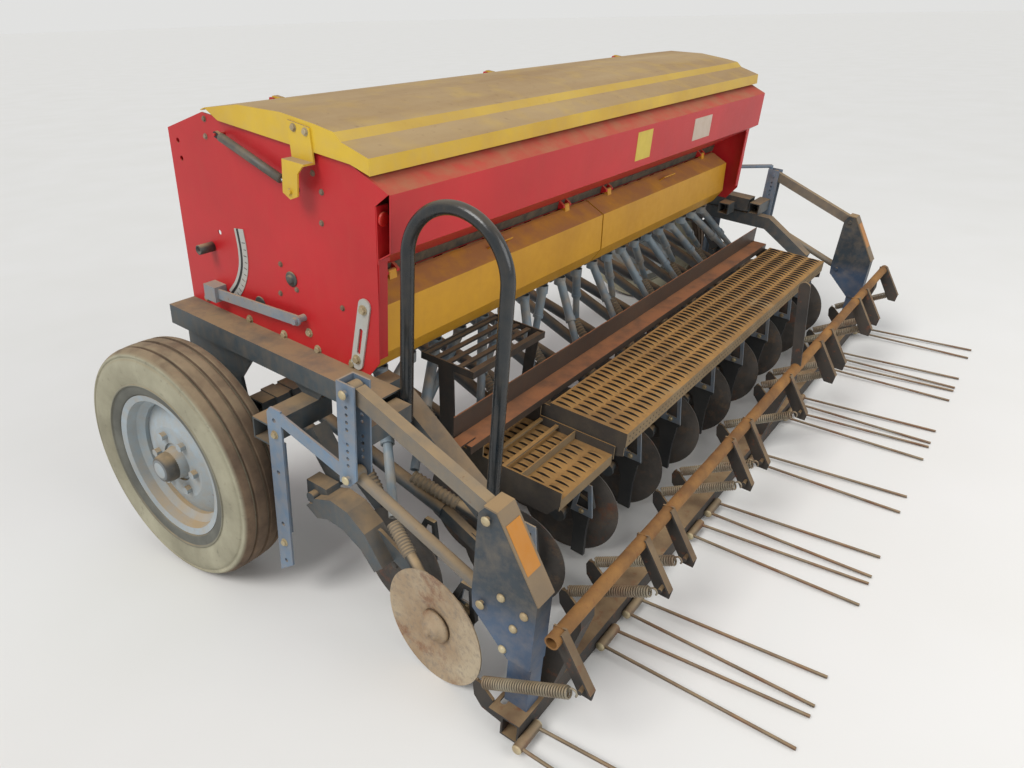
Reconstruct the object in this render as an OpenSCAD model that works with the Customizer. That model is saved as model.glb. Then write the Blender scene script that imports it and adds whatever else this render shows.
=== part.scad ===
// Mounted mechanical seed drill with disc coulters, loading step and following tined harrow.
// The machine is drawn level, with its axle line at y = 0, forward along +y, and each part is
// then leaned back about the axle line, as the drill parks on its wheels and coulter discs.

/* [Parking] */
// How far the parked machine leans back on its discs, in degrees
park_pitch = 6.5; // [5:0.5:7.5]
// Shift along y that centres the machine over the origin
y_shift = 616.3; // [500:0.1:700]

/* [Wheels] */
// Distance from the centre line to the middle of each tyre
wheel_x = 1467; // [1460:1:1475]
// Outer radius of the tyre
tyre_r = 360; // [355:1:365]
// Width of the tyre
tyre_w = 165; // [155:1:170]
// Radius of the rim's flange
rim_r = 222; // [215:1:228]
// Width over the rim's flanges
rim_w = 132; // [120:1:140]

/* [Hopper] */
// Distance from the centre line to the outer face of each side plate
side_x = 1246; // [1240:1:1250]
// Thickness of the side plates
plate_t = 3; // [2:0.5:4]
// Thickness of the hopper's sheet
sheet_t = 2.5; // [2:0.5:3]

/* [Rows] */
// Number of seed rows
rows = 20; // [20:2:20]
// Distance between rows on the ground
row_pitch = 150; // [150:1:150]
// Distance between the metering outlets
outlet_pitch = 118; // [115:1:118]
// Radius of a coulter disc
disc_r = 160; // [150:1:165]
// Angle of a disc to the direction of travel
disc_angle = 6; // [4:1:7]

/* [Step] */
// Left end of the tread board
tread_x0 = -735; // [-750:5:-700]
// Right end of the tread board
tread_x1 = 1262; // [1262:1:1262]
// Front edge of the tread board
tread_y0 = -785; // [-790:5:-780]
// Rear edge of the tread board
tread_y1 = -1050; // [-1060:5:-1040]
// Height of the tread board
tread_z = 535; // [530:5:540]

/* [Harrow] */
// Distance from the centre line to each harrow link
link_x = 1443; // [1442:1:1444]
// Length over the harrow's beam
beam_len = 3020; // [2980:5:3030]

/* [Hidden] */
$fn = 48;

red = "firebrick";
yellow = "goldenrod";
steel_blue = "darkslategray";
black_steel = "dimgray";
grey_plastic = "slategray";
earth_steel = "peru";

// Side and front-to-back places, in the level machine
hinge_yz = [58, 1316];
cover_hinge_yz = [-428, 950];
rail_yz = [-120, 500];
rail_size = 60;
outer_pivot_yz = [-480, 425];
front_hub_y = -690;
rear_hub_y = -930;
link_front_y = -676;
link_rear_y = -1086;
upper_pin_z = 842;
lower_pin_z = 607;
link_drop = 140;
beam_y = -1211;
beam_w = 50;
beam_h = 60;
beam_z = 148;
tube_yz = [-1283, 500];
tube_d = 34;
beam_half = beam_len / 2;
flat_ease = 0.15;
peg_x0 = 1416;
peg_w = 54;
carrier_x = 1195;
kick_x0 = -1100;
step_x0 = -1040;
step_x1 = -742;
arm_plate_x = side_x + 32;
row_x = [for (i = [0 : rows - 1]) (i - (rows - 1) / 2) * row_pitch];
outlet_x = [for (i = [0 : rows - 1]) (i - (rows - 1) / 2) * outlet_pitch];
outer_row = (rows - 1) / 2 * row_pitch;

// Height of the ground in the level machine, below a point at y
function ground_at(y) = tyre_r - tyre_r / cos(park_pitch) - y * tan(park_pitch);
// Height of a coulter disc's hub that lets the disc stand on the ground
function hub_z(y) = ground_at(y) + (disc_r + 0.2) / cos(park_pitch);
function unit2(v) = v / norm(v);
function left_of(v) = [-v.y, v.x];
// The mitred corner of a folded sheet's second face
function mitre(pts, i, t) =
    let (n = len(pts),
         a = left_of(unit2(pts[max(i, 1)] - pts[max(i, 1) - 1])),
         b = left_of(unit2(pts[min(i + 1, n - 1)] - pts[min(i, n - 2)])))
    pts[i] + t * (a + b) / (1 + a * b);
// Outline of a sheet of thickness t folded along a line of points
function folded(pts, t) = concat(pts, [for (i = [len(pts) - 1 : -1 : 0]) mitre(pts, i, t)]);

// Leans a part of the level machine back about the axle line
module parked() {
    translate([0, y_shift, tyre_r]) rotate([park_pitch, 0, 0]) translate([0, 0, -tyre_r]) children();
}

// Extrudes a profile drawn in y and z along x
module along_x(x0, x1) {
    translate([x0, 0, 0]) rotate([90, 0, 90]) linear_extrude(x1 - x0) children();
}

// Turns a profile of radius and x about the wheel's axle line
module about_axle(x) {
    translate([x, 0, tyre_r]) rotate([0, 90, 0]) rotate_extrude($fn = 96) children();
}

// A round bar from point p to point q
module bar(p, q, d) {
    v = q - p;
    len_v = norm(v);
    translate(p) rotate([0, acos(v.z / len_v), atan2(v.y, v.x)]) cylinder(h = len_v, d = d);
}

// A round tube from point p to point q
module pipe(p, q, d, wall) {
    v = q - p;
    len_v = norm(v);
    translate(p) rotate([0, acos(v.z / len_v), atan2(v.y, v.x)]) difference() {
        cylinder(h = len_v, d = d);
        translate([0, 0, -1]) cylinder(h = len_v + 2, d = d - 2 * wall);
    }
}

// A flat bar in a plane across x, from p to q in y and z, with round ends
module flat_link(x0, x1, p, q, w) {
    v = q - p;
    a = atan2(v.y, v.x);
    along_x(x0, x1) {
        translate(p) circle(d = w);
        translate(q) circle(d = w);
        translate(p) rotate(a) translate([0, -w / 2 + flat_ease]) square([norm(v), w - 2 * flat_ease]);
    }
}

// A cross hole through x at a point in y and z
module cross_hole(x0, x1, p, d) {
    translate([x0, p.x, p.y]) rotate([0, 90, 0]) cylinder(h = x1 - x0, d = d, $fn = 32);
}

// A square tube along x with an open end
module square_tube_x(x0, x1, y, z, w, h, wall) {
    translate([x0, y - w / 2, z - h / 2]) difference() {
        cube([x1 - x0, w, h]);
        translate([-1, wall, wall]) cube([x1 - x0 + 2, w - 2 * wall, h - 2 * wall]);
    }
}

// A square tube in a plane across x, from p to q in y and z
module square_tube_yz(x, p, q, w, h, wall) {
    v = q - p;
    len_v = norm(v);
    translate([x, p.x, p.y]) rotate([atan2(v.y, v.x), 0, 0]) translate([-w / 2, 0, -h / 2]) difference() {
        cube([w, len_v, h]);
        translate([wall, -1, wall]) cube([w - 2 * wall, len_v + 2, h - 2 * wall]);
    }
}

// Main frame

module side_frame(side) {
    x_in = side_x;
    x_out = side_x + 84;
    mirror([side < 0 ? 1 : 0, 0, 0]) {
        difference() {
            translate([x_in, -637, 685]) cube([x_out - x_in, 837, 60]);
            translate([x_in + 5, -638, 690]) cube([x_out - x_in - 10, 839, 50]);
        }
        along_x(x_in + 20, x_in + 32) polygon([[205, 685], [205, 545], [90, 545], [90, 430], [40, 310], [-45, 310],
                                               [-60, 400], [-30, 560], [-120, 685]]);
        square_tube_x(x_in, 1462, -352, 600, 64, 64, 5);
        along_x(x_in + 40, x_in + 48) polygon([[-250, 685], [-320, 632], [-384, 632], [-420, 685]]);
        square_tube_x(x_in + 16, peg_x0, -663, 700, 52, 52, 4);
        square_tube_x(1165, x_in + 4, -545, 695, 52, 52, 4);
    }
}

module main_frame() {
    color(steel_blue) parked() {
        square_tube_x(-side_x - 20, side_x + 20, 150, 600, 100, 100, 6);
        for (side = [-1, 1]) side_frame(side);
        for (x = [-750, -150, 150, 750])
            along_x(x - 6, x + 6) polygon([[110, 550], [110, 520], [-85, 475], [-90, 525], [40, 550]]);
    }
}

// Three-point headstock

lower_pin_yz = [470, 470];
top_pin_yz = [430, 1080];

module headstock() {
    color(steel_blue) parked() {
        for (side = [-1, 1]) {
            along_x(side * 400 - 10, side * 400 + 10)
                polygon([[200, 550], [200, 700], [400, 1020], [430, 545], [500, 510], [510, 430], [440, 425],
                         [400, 500], [300, 550]]);
            bar([side * 400, lower_pin_yz.x, lower_pin_yz.y], [side * 520, lower_pin_yz.x, lower_pin_yz.y], 28);
            difference() {
                along_x(side * 40 - 8, side * 40 + 8)
                    polygon([[392, 990], [392, 1100], [410, 1115], [450, 1115], [465, 1095], [465, 1050], [425, 990]]);
                cross_hole(side * 40 - 9, side * 40 + 9, top_pin_yz, 25.7);
            }
            along_x(side * 225 - 195, side * 225 + 195) polygon([[385, 985], [425, 985], [425, 1020], [385, 1020]]);
        }
    }
}

// Axles and wheels

module axle(side) {
    mirror([side < 0 ? 1 : 0, 0, 0]) {
        bar([arm_plate_x, 0, tyre_r], [wheel_x - 8, 0, tyre_r], 44);
        bar([arm_plate_x, 0, tyre_r], [wheel_x - 72, 0, tyre_r], 70);
    }
}

module axle_left() {
    color(steel_blue) parked() axle(-1);
}

module axle_right() {
    color(steel_blue) parked() axle(1);
}

// The rim, wheel disc and hub, with the outer face toward +x
module wheel() {
    h = rim_w / 2;
    about_axle(0) polygon([[rim_r, -h], [rim_r, -h + 5], [rim_r - 14, -h + 9], [rim_r - 20, -h + 34],
                           [rim_r - 38, -14], [rim_r - 38, 14], [rim_r - 20, h - 34], [rim_r - 14, h - 9],
                           [rim_r, h - 5], [rim_r, h], [rim_r - 19, h - 5], [rim_r - 25, h - 32],
                           [rim_r - 43, 17], [rim_r - 43, -17], [rim_r - 25, -h + 32], [rim_r - 19, -h + 5]]);
    difference() {
        about_axle(0) polygon([[rim_r - 43, -8], [rim_r - 43, 4], [140, 22], [112, 34], [60, 34], [60, 26],
                               [108, 26], [134, 15], [150, -2]]);
        for (a = [0 : 60 : 300])
            translate([20, 86 * cos(a), tyre_r + 86 * sin(a)]) rotate([0, 90, 0]) cylinder(h = 30, d = 17);
    }
    about_axle(0) polygon([[23, -60], [50, -60], [50, 10], [62, 14], [62, 26], [50, 30], [42, 62], [23, 66]]);
    about_axle(0) polygon([[0, 66], [42, 62], [38, 84], [24, 92], [0, 92]]);
    for (a = [0 : 60 : 300])
        translate([34, 86 * cos(a), tyre_r + 86 * sin(a)]) rotate([0, 90, 0]) cylinder(h = 16, d = 26, $fn = 6);
}

// The tyre's section, with four ribs on the tread
module tyre() {
    h = tyre_w / 2;
    r = tyre_r;
    about_axle(0) polygon([[rim_r - 13.5, -h + 27.5], [rim_r + 1.5, -h + 23], [rim_r + 16, -h + 14], [rim_r + 50, -h + 1],
                           [rim_r + 84, -h + 3], [r - 24, -h + 14], [r - 9, -h + 24], [r - 3, -42],
                           [r - 11, -40], [r - 11, -33], [r - 1, -31], [r, -5], [r - 9, -4],
                           [r - 9, 4], [r, 5], [r - 1, 31], [r - 11, 33], [r - 11, 40], [r - 3, 42],
                           [r - 9, h - 24], [r - 24, h - 14], [rim_r + 84, h - 3], [rim_r + 50, h - 1],
                           [rim_r + 16, h - 14], [rim_r + 1.5, h - 23], [rim_r - 13.5, h - 27.5]]);
}

module wheel_left() {
    color("gainsboro") parked() translate([-wheel_x, 0, 0]) mirror([1, 0, 0]) wheel();
}

module wheel_right() {
    color("gainsboro") parked() translate([wheel_x, 0, 0]) wheel();
}

module tyre_left() {
    color("tan") parked() translate([-wheel_x, 0, 0]) tyre();
}

module tyre_right() {
    color("tan") parked() translate([wheel_x, 0, 0]) tyre();
}

// Hopper

cover_hinge_x = [-1054, -154, 154, 1054];
hopper_line = [[75, 1290], [45, 1290], [45, 1120], [-250, 934], [-405, 934], [-412, 968],
               [-600, 1092], [-600, 1229], [-472, 1282], [-472, 1262]];
plate_outline = [[216, 1240], [56, 1306], [-465, 1284], [-600, 1232], [-558, 1196], [-566, 930],
                 [-566, 790], [-520, 728], [200, 728]];

module hopper_shell() {
    x_in = side_x - plate_t;
    color(red) parked() {
        along_x(-x_in, x_in) polygon(folded(hopper_line, sheet_t));
        for (x = [-1000, 0, 1000]) {
            for (s = [-16, 10])
                along_x(x + s, x + s + 6)
                    polygon([[75, 1282], [52, 1289.5], [52, 1320], [66, 1320], [75, 1300]]);
            bar([x - 16, hinge_yz.x, hinge_yz.y], [x + 16, hinge_yz.x, hinge_yz.y], 8);
        }
        for (x = cover_hinge_x) {
            for (s = [-26, 16])
                along_x(x + s, x + s + 10) polygon([[-412, 938], [-412, 968], [-424, 962], [-435, 954],
                                                    [-435, 946], [-428, 942]]);
            bar([x - 26, cover_hinge_yz.x, cover_hinge_yz.y], [x + 26, cover_hinge_yz.x, cover_hinge_yz.y], 6);
        }
    }
}

module side_plate(side) {
    mirror([side < 0 ? 1 : 0, 0, 0]) {
        difference() {
            along_x(side_x - plate_t, side_x) polygon(plate_outline);
            for (p = [[77, 935], [37, 986], [170, 1165], [177, 1212]])
                cross_hole(side_x - 10, side_x + 10, p, 14);
            flat_link(side_x - 10, side_x + 10, [-50, 1008], [-44, 900], 9);
            flat_link(side_x - 10, side_x + 10, [-44, 900], [4, 818], 9);
        }
        along_x(side_x - 32, side_x - plate_t) polygon([[-566, 800], [-561, 800], [-561, 1058], [-566, 1060]]);
        translate([side_x - 32, 195, 740]) cube([32 - plate_t, 5, 480]);
        bar([side_x - 1, strut_foot_yz.x, strut_foot_yz.y], [side_x + 34, strut_foot_yz.x, strut_foot_yz.y], 8);
    }
}

module side_plate_left() {
    color(red) parked() side_plate(-1);
}

module side_plate_right() {
    color(red) parked() side_plate(1);
}

module agitator_shaft() {
    color(black_steel) parked() {
        bar([-side_x + plate_t, -325, 985], [side_x - plate_t, -325, 985], 22);
        for (i = [0 : rows - 1])
            bar([outlet_x[i], -325 - 42 * cos(i * 90), 985 - 42 * sin(i * 90)],
                [outlet_x[i], -325 + 42 * cos(i * 90), 985 + 42 * sin(i * 90)], 7);
    }
}

// Lid

lid_line = [[47, 1315], [30, 1322], [-104, 1350], [-262, 1358], [-380, 1350], [-441, 1343], [-463, 1325], [-549, 1304],
            [-552, 1265]];
lid_half = side_x + 9;

module lid() {
    color(yellow) parked() {
        along_x(-lid_half, lid_half) polygon(folded(lid_line, sheet_t));
        for (side = [-1, 1])
            along_x(side * (lid_half - 1.5) - 1.5, side * (lid_half - 1.5) + 1.5)
                polygon([[30, 1321], [-104, 1349], [-262, 1357], [-380, 1349], [-439, 1342], [-462, 1324],
                         [-547, 1303], [-549, 1266], [-491, 1280], [-20, 1298]]);
        for (x = [-1000, 0, 1000]) difference() {
            along_x(x - 8, x + 8) {
                translate(hinge_yz) circle(d = 17);
                polygon([[58, 1318], [58, 1324.5], [30, 1323], [30, 1318], [47, 1312]]);
            }
            cross_hole(x - 9, x + 9, hinge_yz, 8.8);
        }
    }
}

strut_pin_yz = [-322, 1188];
strut_foot_yz = [-32, 1268];

module lid_bracket(side) {
    x0 = lid_half;
    mirror([side < 0 ? 1 : 0, 0, 0]) {
        along_x(x0, x0 + 5) polygon([[-290, 1346], [-365, 1340], [-375, 1262], [-300, 1262]]);
        along_x(x0, x0 + 36) polygon([[-375, 1262], [-300, 1262], [-300, 1257], [-375, 1257]]);
        along_x(x0 + 31, x0 + 36) polygon([[-375, 1262], [-300, 1262], [-296, 1180], [-322, 1168], [-348, 1180],
                                           [-352, 1235]]);
        bar([x0 + 26, strut_pin_yz.x, strut_pin_yz.y], [x0 + 42, strut_pin_yz.x, strut_pin_yz.y], 14);
    }
}

module lid_bracket_left() {
    color(yellow) parked() lid_bracket(-1);
}

module lid_bracket_right() {
    color(yellow) parked() lid_bracket(1);
}

strut_x = side_x + 24.5;
strut_run = strut_pin_yz - strut_foot_yz;

// A point on the strut's line, at a distance from its foot
function strut_at(side, s) =
    let (p = strut_foot_yz + s * unit2(strut_run)) [side * strut_x, p.x, p.y];

module strut_barrel(side) {
    difference() {
        union() {
            bar(strut_at(side, 14), strut_at(side, 190), 18);
            flat_link(side * strut_x - 5, side * strut_x + 5, strut_foot_yz, strut_foot_yz + 20 * unit2(strut_run), 16);
        }
        bar(strut_at(side, 40), strut_at(side, 200), 10);
        cross_hole(side * strut_x - 6, side * strut_x + 6, strut_foot_yz, 8.6);
    }
}

module strut_rod(side) {
    reach = norm(strut_run);
    difference() {
        union() {
            bar(strut_at(side, 60), strut_at(side, reach - 6), 8);
            flat_link(side * strut_x - 4.5, side * strut_x + 4.5, strut_pin_yz, strut_pin_yz - 10 * unit2(strut_run), 16);
        }
        cross_hole(side * strut_x - 6, side * strut_x + 6, strut_pin_yz, 8.6);
    }
}

module strut_barrel_left() {
    color("gray") parked() strut_barrel(-1);
}

module strut_barrel_right() {
    color("gray") parked() strut_barrel(1);
}

module strut_rod_left() {
    color("silver") parked() strut_rod(-1);
}

module strut_rod_right() {
    color("silver") parked() strut_rod(1);
}

// Metering

module metering_row() {
    color(black_steel) parked() {
        for (x = outlet_x) {
            along_x(x - 38, x + 38) polygon([[-262, 931.4], [-398, 931.4], [-440, 900], [-470, 800], [-466, 745],
                                             [-420, 735], [-300, 800], [-262, 860]]);
            pipe([x, -440, 752], [x, -450, 700], 38, 3);
        }
        bar([-side_x + plate_t, -372, 850], [side_x - plate_t, -372, 850], 24);
    }
}

cover_line = [[-420, 934], [-430, 932], [-500, 900], [-508, 770], [-472, 712]];

module seed_cover(x0, x1) {
    along_x(x0, x1) polygon(folded(cover_line, -2));
    for (x = [x0, x1 - 2])
        along_x(x, x + 2) polygon([[-432, 931], [-500, 899], [-507, 771], [-488, 741], [-480, 880]]);
    for (x = [x0 + 150, x1 - 150]) difference() {
        along_x(x - 14, x + 14) {
            translate(cover_hinge_yz) circle(d = 14);
            polygon([[-421, 935], [-421, 950], [-434, 952], [-438, 931]]);
        }
        cross_hole(x - 15, x + 15, cover_hinge_yz, 6.8);
    }
    mid = (x0 + x1) / 2;
    bar([mid - 50, -455, 918], [mid - 50, -478, 938], 6);
    bar([mid + 50, -455, 918], [mid + 50, -478, 938], 6);
    bar([mid - 53, -478, 938], [mid + 53, -478, 938], 6);
}

module cover_left() {
    color(yellow) parked() seed_cover(-1204, -4);
}

module cover_right() {
    color(yellow) parked() seed_cover(4, 1204);
}

// Seed tubes

module seed_tube(x_top, x_low, y_low, z_low) {
    top = [x_top, -452, 680];
    low = [x_low, y_low, z_low];
    mid = top + 0.5 * (low - top);
    pipe([x_top, -450, 664], [x_top, -450, 694], 42, 3);
    pipe(top, mid, 32, 2);
    pipe(mid - 0.06 * (low - top), low, 26, 2);
    pipe(mid - 0.03 * (low - top), mid + 0.03 * (low - top), 38, 4);
}

function is_rear(i) = i % 2 == 0;
// The side of its arm that a row's disc is on: rear discs face right and front discs left, and the two end discs outward
function disc_side(i) = i == 0 ? -1 : i == rows - 1 ? 1 : is_rear(i) ? 1 : -1;
function out_side(x) = x < 0 ? -1 : 1;

// Where the seed tube meets the coulter's boot, in y and z, for a row
function inlet(i) =
    i == 0 ? [-728, hub_z(rear_hub_y) + 168]
    : i == rows - 1 ? [-600, hub_z(front_hub_y) + 162]
    : is_rear(i) ? [-630, hub_z(rear_hub_y) + 165] : [-450, hub_z(front_hub_y) + 218];

module seed_tubes() {
    color(grey_plastic) parked()
        for (i = [0 : rows - 1])
            seed_tube(outlet_x[i], row_x[i] - 55 * disc_side(i), inlet(i).x, inlet(i).y + 24);
}

// Coulters

module coulter_rail() {
    color(steel_blue) parked() {
        square_tube_x(-1300, 1300, rail_yz.x, rail_yz.y, rail_size, rail_size, 5);
        for (side = [-1, 1])
            mirror([side < 0 ? 1 : 0, 0, 0]) {
                square_tube_yz(1330, [-404.5, 573.5], [-500, 450], 50, 50, 4);
                bar([1300, outer_pivot_yz.x, outer_pivot_yz.y], [1424, outer_pivot_yz.x, outer_pivot_yz.y], 30);
            }
    }
}

// The outer left arm, a curved channel pressed from plate, open below
module channel_arm() {
    x0 = -1427.5;
    x1 = -1357.5;
    top = [[-466, 396], [-500, 434], [-560, 458], [-620, 450], [-680, 410], [-742, 332]];
    along_x(x0, x1) polygon(folded(top, 4));
    for (x = [x0, x1 - 4])
        along_x(x, x + 4) polygon([[-467, 395], [-501, 432], [-560, 456], [-619, 448], [-678, 408], [-740, 331],
                                   [-712, 302], [-665, 352], [-600, 384], [-545, 388], [-505, 372]]);
    along_x(x0 + 1, x1 - 1) polygon([[-640, 420], [-700, 370], [-692, 352], [-632, 402]]);
}

module coulter_arm(i) {
    x = row_x[i];
    side = disc_side(i);
    y_hub = is_rear(i) ? rear_hub_y : front_hub_y;
    hub = [y_hub, hub_z(y_hub)];
    xa = x - side * 44;
    outer = i == 0 || i == rows - 1;
    pivot = outer ? outer_pivot_yz : rail_yz;
    knee = hub + (is_rear(i) ? [200, 95] : [190, 132]);
    difference() {
        union() {
            if (i == 0) channel_arm();
            else if (outer) square_tube_yz(xa, pivot + [-20, -2], hub + [90, 46], 32, 40, 4);
            else {
                bar([xa, pivot.x - 36, pivot.y - 4], [xa, knee.x, knee.y], 42);
                flat_link(xa - 13, xa + 13, knee + [12, 0], hub + [80, 40], 39);
            }
            along_x(xa - 23, xa + 23) polygon([pivot + [34, 34], pivot + [34, -38], pivot + [-40, -38],
                                               pivot + [-60, -10], pivot + [-40, 34]]);
        }
        if (outer) cross_hole(xa - 60, xa + 60, pivot, 30.6);
        else translate([xa - 30, rail_yz.x - 30.2, rail_yz.y - 30.2]) cube([60, 60.4, 60.4]);
    }
    flat_link(xa - 5, xa + 5, i == 0 ? [-690, 380] : hub + [95, 48], hub, 46);
    bar([xa + side * 5, hub.x, hub.y], [x - side * 11, hub.x, hub.y], 32);
}

module coulter_arms() {
    color(steel_blue) parked()
        for (i = [0 : rows - 1]) coulter_arm(i);
}

// A dished disc with its hub, in its own frame with the axle along x
module dished_disc() {
    rotate([0, 90, 0]) rotate_extrude($fn = 64)
        polygon([[0, -6], [40, -6], [46, -2], [120, 4], [disc_r, 10], [disc_r, 6.5], [120, 0], [60, -5],
                 [44, -10], [40, -16], [0, -16]]);
}

module coulter_discs() {
    color(earth_steel) parked()
        for (i = [0 : rows - 1]) {
            side = disc_side(i);
            y_hub = is_rear(i) ? rear_hub_y : front_hub_y;
            translate([row_x[i] + side * 12, y_hub, hub_z(y_hub)]) rotate([0, 0, side * disc_angle])
                mirror([side < 0 ? 1 : 0, 0, 0]) dished_disc();
        }
}

// A seed boot: its blade behind the disc, the tube into it, and a windowed plate up at the rear
module coulter_boot(i) {
    x = row_x[i];
    side = disc_side(i);
    y_hub = is_rear(i) ? rear_hub_y : front_hub_y;
    z = hub_z(y_hub);
    xb = x - side * 16;
    top = i == 4 ? 112 : 158;
    difference() {
        along_x(xb - 6, xb + 6) translate([y_hub, z])
            polygon([[84, 80], [84, 112], [60, 114], [0, 80], [-14, 74], [-52, top], [-84, top], [-102, 56], [-92, 46],
                     [-85, -30], [-88, -130], [-45, -128], [-42, -30], [-27, 20], [0, 36], [35, 42]]);
        along_x(xb - 7, xb + 7) translate([y_hub, z]) polygon([[-38, 84], [-58, top - 14], [-76, top - 14], [-84, 70]]);
    }
    bar([x - side * 55, inlet(i).x, inlet(i).y], [xb, y_hub + 76, z + 100], 30);
}

module coulter_boots() {
    color(black_steel) parked()
        for (i = [0 : rows - 1]) coulter_boot(i);
}

// Step, rack and handrail

module step_carrier_left() {
    color(steel_blue) parked() square_tube_yz(-carrier_x, [-590, 680], [-905, 462], 60, 56, 4);
}

// The right carrier runs level under the side frame, then bends down to the tread board
module step_carrier_right() {
    x0 = tread_x1;
    x1 = tread_x1 + 56;
    color(steel_blue) parked() {
        difference() {
            along_x(x0, x1) polygon([[-425, 673], [-748, 673], [-965, 541], [-950, 490], [-735, 617], [-425, 617]]);
            along_x(x0 + 4, x1 - 4) polygon([[-424, 669], [-747, 669], [-975, 530], [-940, 501], [-736, 621], [-424, 621]]);
        }
        translate([x0 + 6, -600, 672]) cube([44, 160, 13]);
    }
}

module kick_plate() {
    color("saddlebrown") parked() {
        along_x(kick_x0, tread_x1) polygon(folded([[-700, 616], [-700, 548], [-763, 548], [-763, 524]], 4));
        translate([30 - carrier_x, -745, 548]) cube([kick_x0 + 40 - (30 - carrier_x), 40, 6]);
    }
}

// The board's end plate, which also reaches forward under the kick plate
module tread_end(x) {
    along_x(x, x + 4) polygon([[tread_y1 + 3, 532], [tread_y1 + 3, 456], [tread_y1 + 30, 447], [-770, 447], [-703, 496],
                               [-703, 543.9], [-758.9, 543.9], [-758.9, 523.9], [-785, 523.9], [-785, 532]]);
}

module tread_board() {
    color("burlywood") parked() {
        along_x(tread_x0, tread_x1) polygon(folded([[tread_y1, tread_z - 48], [tread_y1, tread_z],
                                                    [tread_y0, tread_z], [tread_y0, tread_z - 24]], -3));
        tread_end(tread_x0);
        tread_end(tread_x1 - 4);
    }
}

module lower_step() {
    color("burlywood") parked() {
        for (x = [step_x0, step_x1 - 4])
            along_x(x, x + 4) polygon([[-656, 485], [-656, 396], [-985, 396], [-1022, 440], [-1022, 485], [-758.8, 485],
                                       [-758.8, 543.8], [-702, 543.8], [-702, 485]]);
        along_x(step_x0 + 3, step_x1 - 3) polygon(folded([[-1018, 420], [-1018, 455], [-660, 455], [-660, 443]], -3));
        for (y = [-704, -759, -817]) translate([step_x0 + 3, y - 12, 470]) cube([step_x1 - step_x0 - 6, 12, 7]);
        translate([step_x0 + 3, -888, 454]) cube([step_x1 - step_x0 - 6, 4, 28]);
    }
}

module upper_rack() {
    color(black_steel) parked() {
        for (y = [-496, -538, -580, -622, -664]) translate([-980, y, 686]) cube([356, 16, 7]);
        for (x = [-985, -624]) translate([x, -672, 676]) cube([5, 192, 22]);
        for (y = [-672, -484]) translate([-982, y, 676]) cube([360, 4, 22]);
        along_x(-985, -980) polygon([[-545, 680], [-600, 680], [-612, 500], [-655.9, 480], [-655.9, 440], [-620, 440],
                                     [-560, 476]]);
        along_x(-624, -619) polygon([[-612, 680], [-655, 680], [-640, 560], [-695.9, 575], [-695.9, 552], [-640, 500],
                                     [-600, 480]]);
    }
}

rail_x = -1242;

module handrail() {
    bend_r = 142;
    y_front = -655;
    y_rear = y_front - 2 * bend_r;
    top_z = 1245;
    color(steel_blue) parked() {
        bar([rail_x, y_front, 590], [rail_x, y_front, top_z - bend_r], 34);
        bar([rail_x, y_rear, 440], [rail_x, y_rear, top_z - bend_r], 34);
        bar([rail_x, y_rear, 470], [-carrier_x - 38.2, -895, 470], 16);
        translate([rail_x, (y_front + y_rear) / 2, top_z - bend_r]) rotate([90, 0, 90])
            rotate_extrude(angle = 180) translate([bend_r, 0]) circle(d = 34);
    }
}

// Brackets at the machine's rear corners

module peg_bracket(side) {
    mirror([side < 0 ? 1 : 0, 0, 0]) difference() {
        translate([peg_x0, -702, 586]) cube([peg_w, 56, 280]);
        translate([peg_x0 + 5, -703, 585]) cube([peg_w - 10, 52, 282]);
        for (z = [645, 665, 685, 705, 745, 765, 785, 805]) cross_hole(1410, 1480, [link_front_y, z], 10);
        along_x(1410, 1480) polygon([[-703, 585], [-680, 585], [-703, 612]]);
    }
    mirror([side < 0 ? 1 : 0, 0, 0]) for (z = [upper_pin_z, lower_pin_z])
        bar([peg_x0 - 8, link_front_y, z], [peg_x0 + peg_w + 10, link_front_y, z], 16);
}

module peg_bracket_left() {
    color("steelblue") parked() peg_bracket(-1);
}

// The right bracket has a bent rod from its top to the adjuster on the hopper's side plate
module peg_bracket_right() {
    color("steelblue") parked() {
        peg_bracket(1);
        bar([side_x + 10.5, -512, 877], [1443, -649, 877], 18);
        bar([1443, -649, 881], [1443, -649, 862], 18);
    }
}

module rear_bar(side) {
    mirror([side < 0 ? 1 : 0, 0, 0]) {
        difference() {
            translate([1462, -440, 150]) cube([6, 52, 545]);
            for (z = [200, 330, 500, 660]) cross_hole(1460, 1470, [-414, z], 13);
            along_x(1460, 1470) polygon([[-441, 149], [-387, 149], [-387, 152], [-441, 196]]);
            along_x(1460, 1470) polygon([[-387, 696], [-387, 676], [-402, 696]]);
        }
        translate([1420, -394, 260]) cube([42, 6, 300]);
        along_x(1462, 1468) polygon([[-430, 655], [-440, 690], [-645.8, 640], [-645.8, 600]]);
    }
}

module rear_bar_left() {
    color("steelblue") parked() rear_bar(-1);
}

module rear_bar_right() {
    color("steelblue") parked() rear_bar(1);
}

// Controls on the left side plate

module setting_lever() {
    color(steel_blue) parked() {
        flat_link(-side_x - 30, -side_x - 24, [60, 808], [-292, 832], 30);
        bar([-side_x - 40, -292, 832], [-side_x, -292, 832], 20);
        translate([-side_x - 40, 35, 785]) cube([40, 50, 46]);
    }
}

module adjuster(side) {
    mirror([side < 0 ? 1 : 0, 0, 0]) difference() {
        flat_link(side_x, side_x + 5, [-490, 768], [-520, 935], 40);
        flat_link(side_x - 1, side_x + 6, [-497, 800], [-508, 865], 12);
    }
}

module adjuster_left() {
    color("steelblue") parked() adjuster(-1);
}

module adjuster_right() {
    color("steelblue") parked() adjuster(1);
}

// Following harrow

link_a = [link_front_y, upper_pin_z];
link_b = [link_front_y, lower_pin_z];
carry_a = [link_rear_y, upper_pin_z - link_drop];
carry_b = [link_rear_y, lower_pin_z - link_drop];

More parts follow.
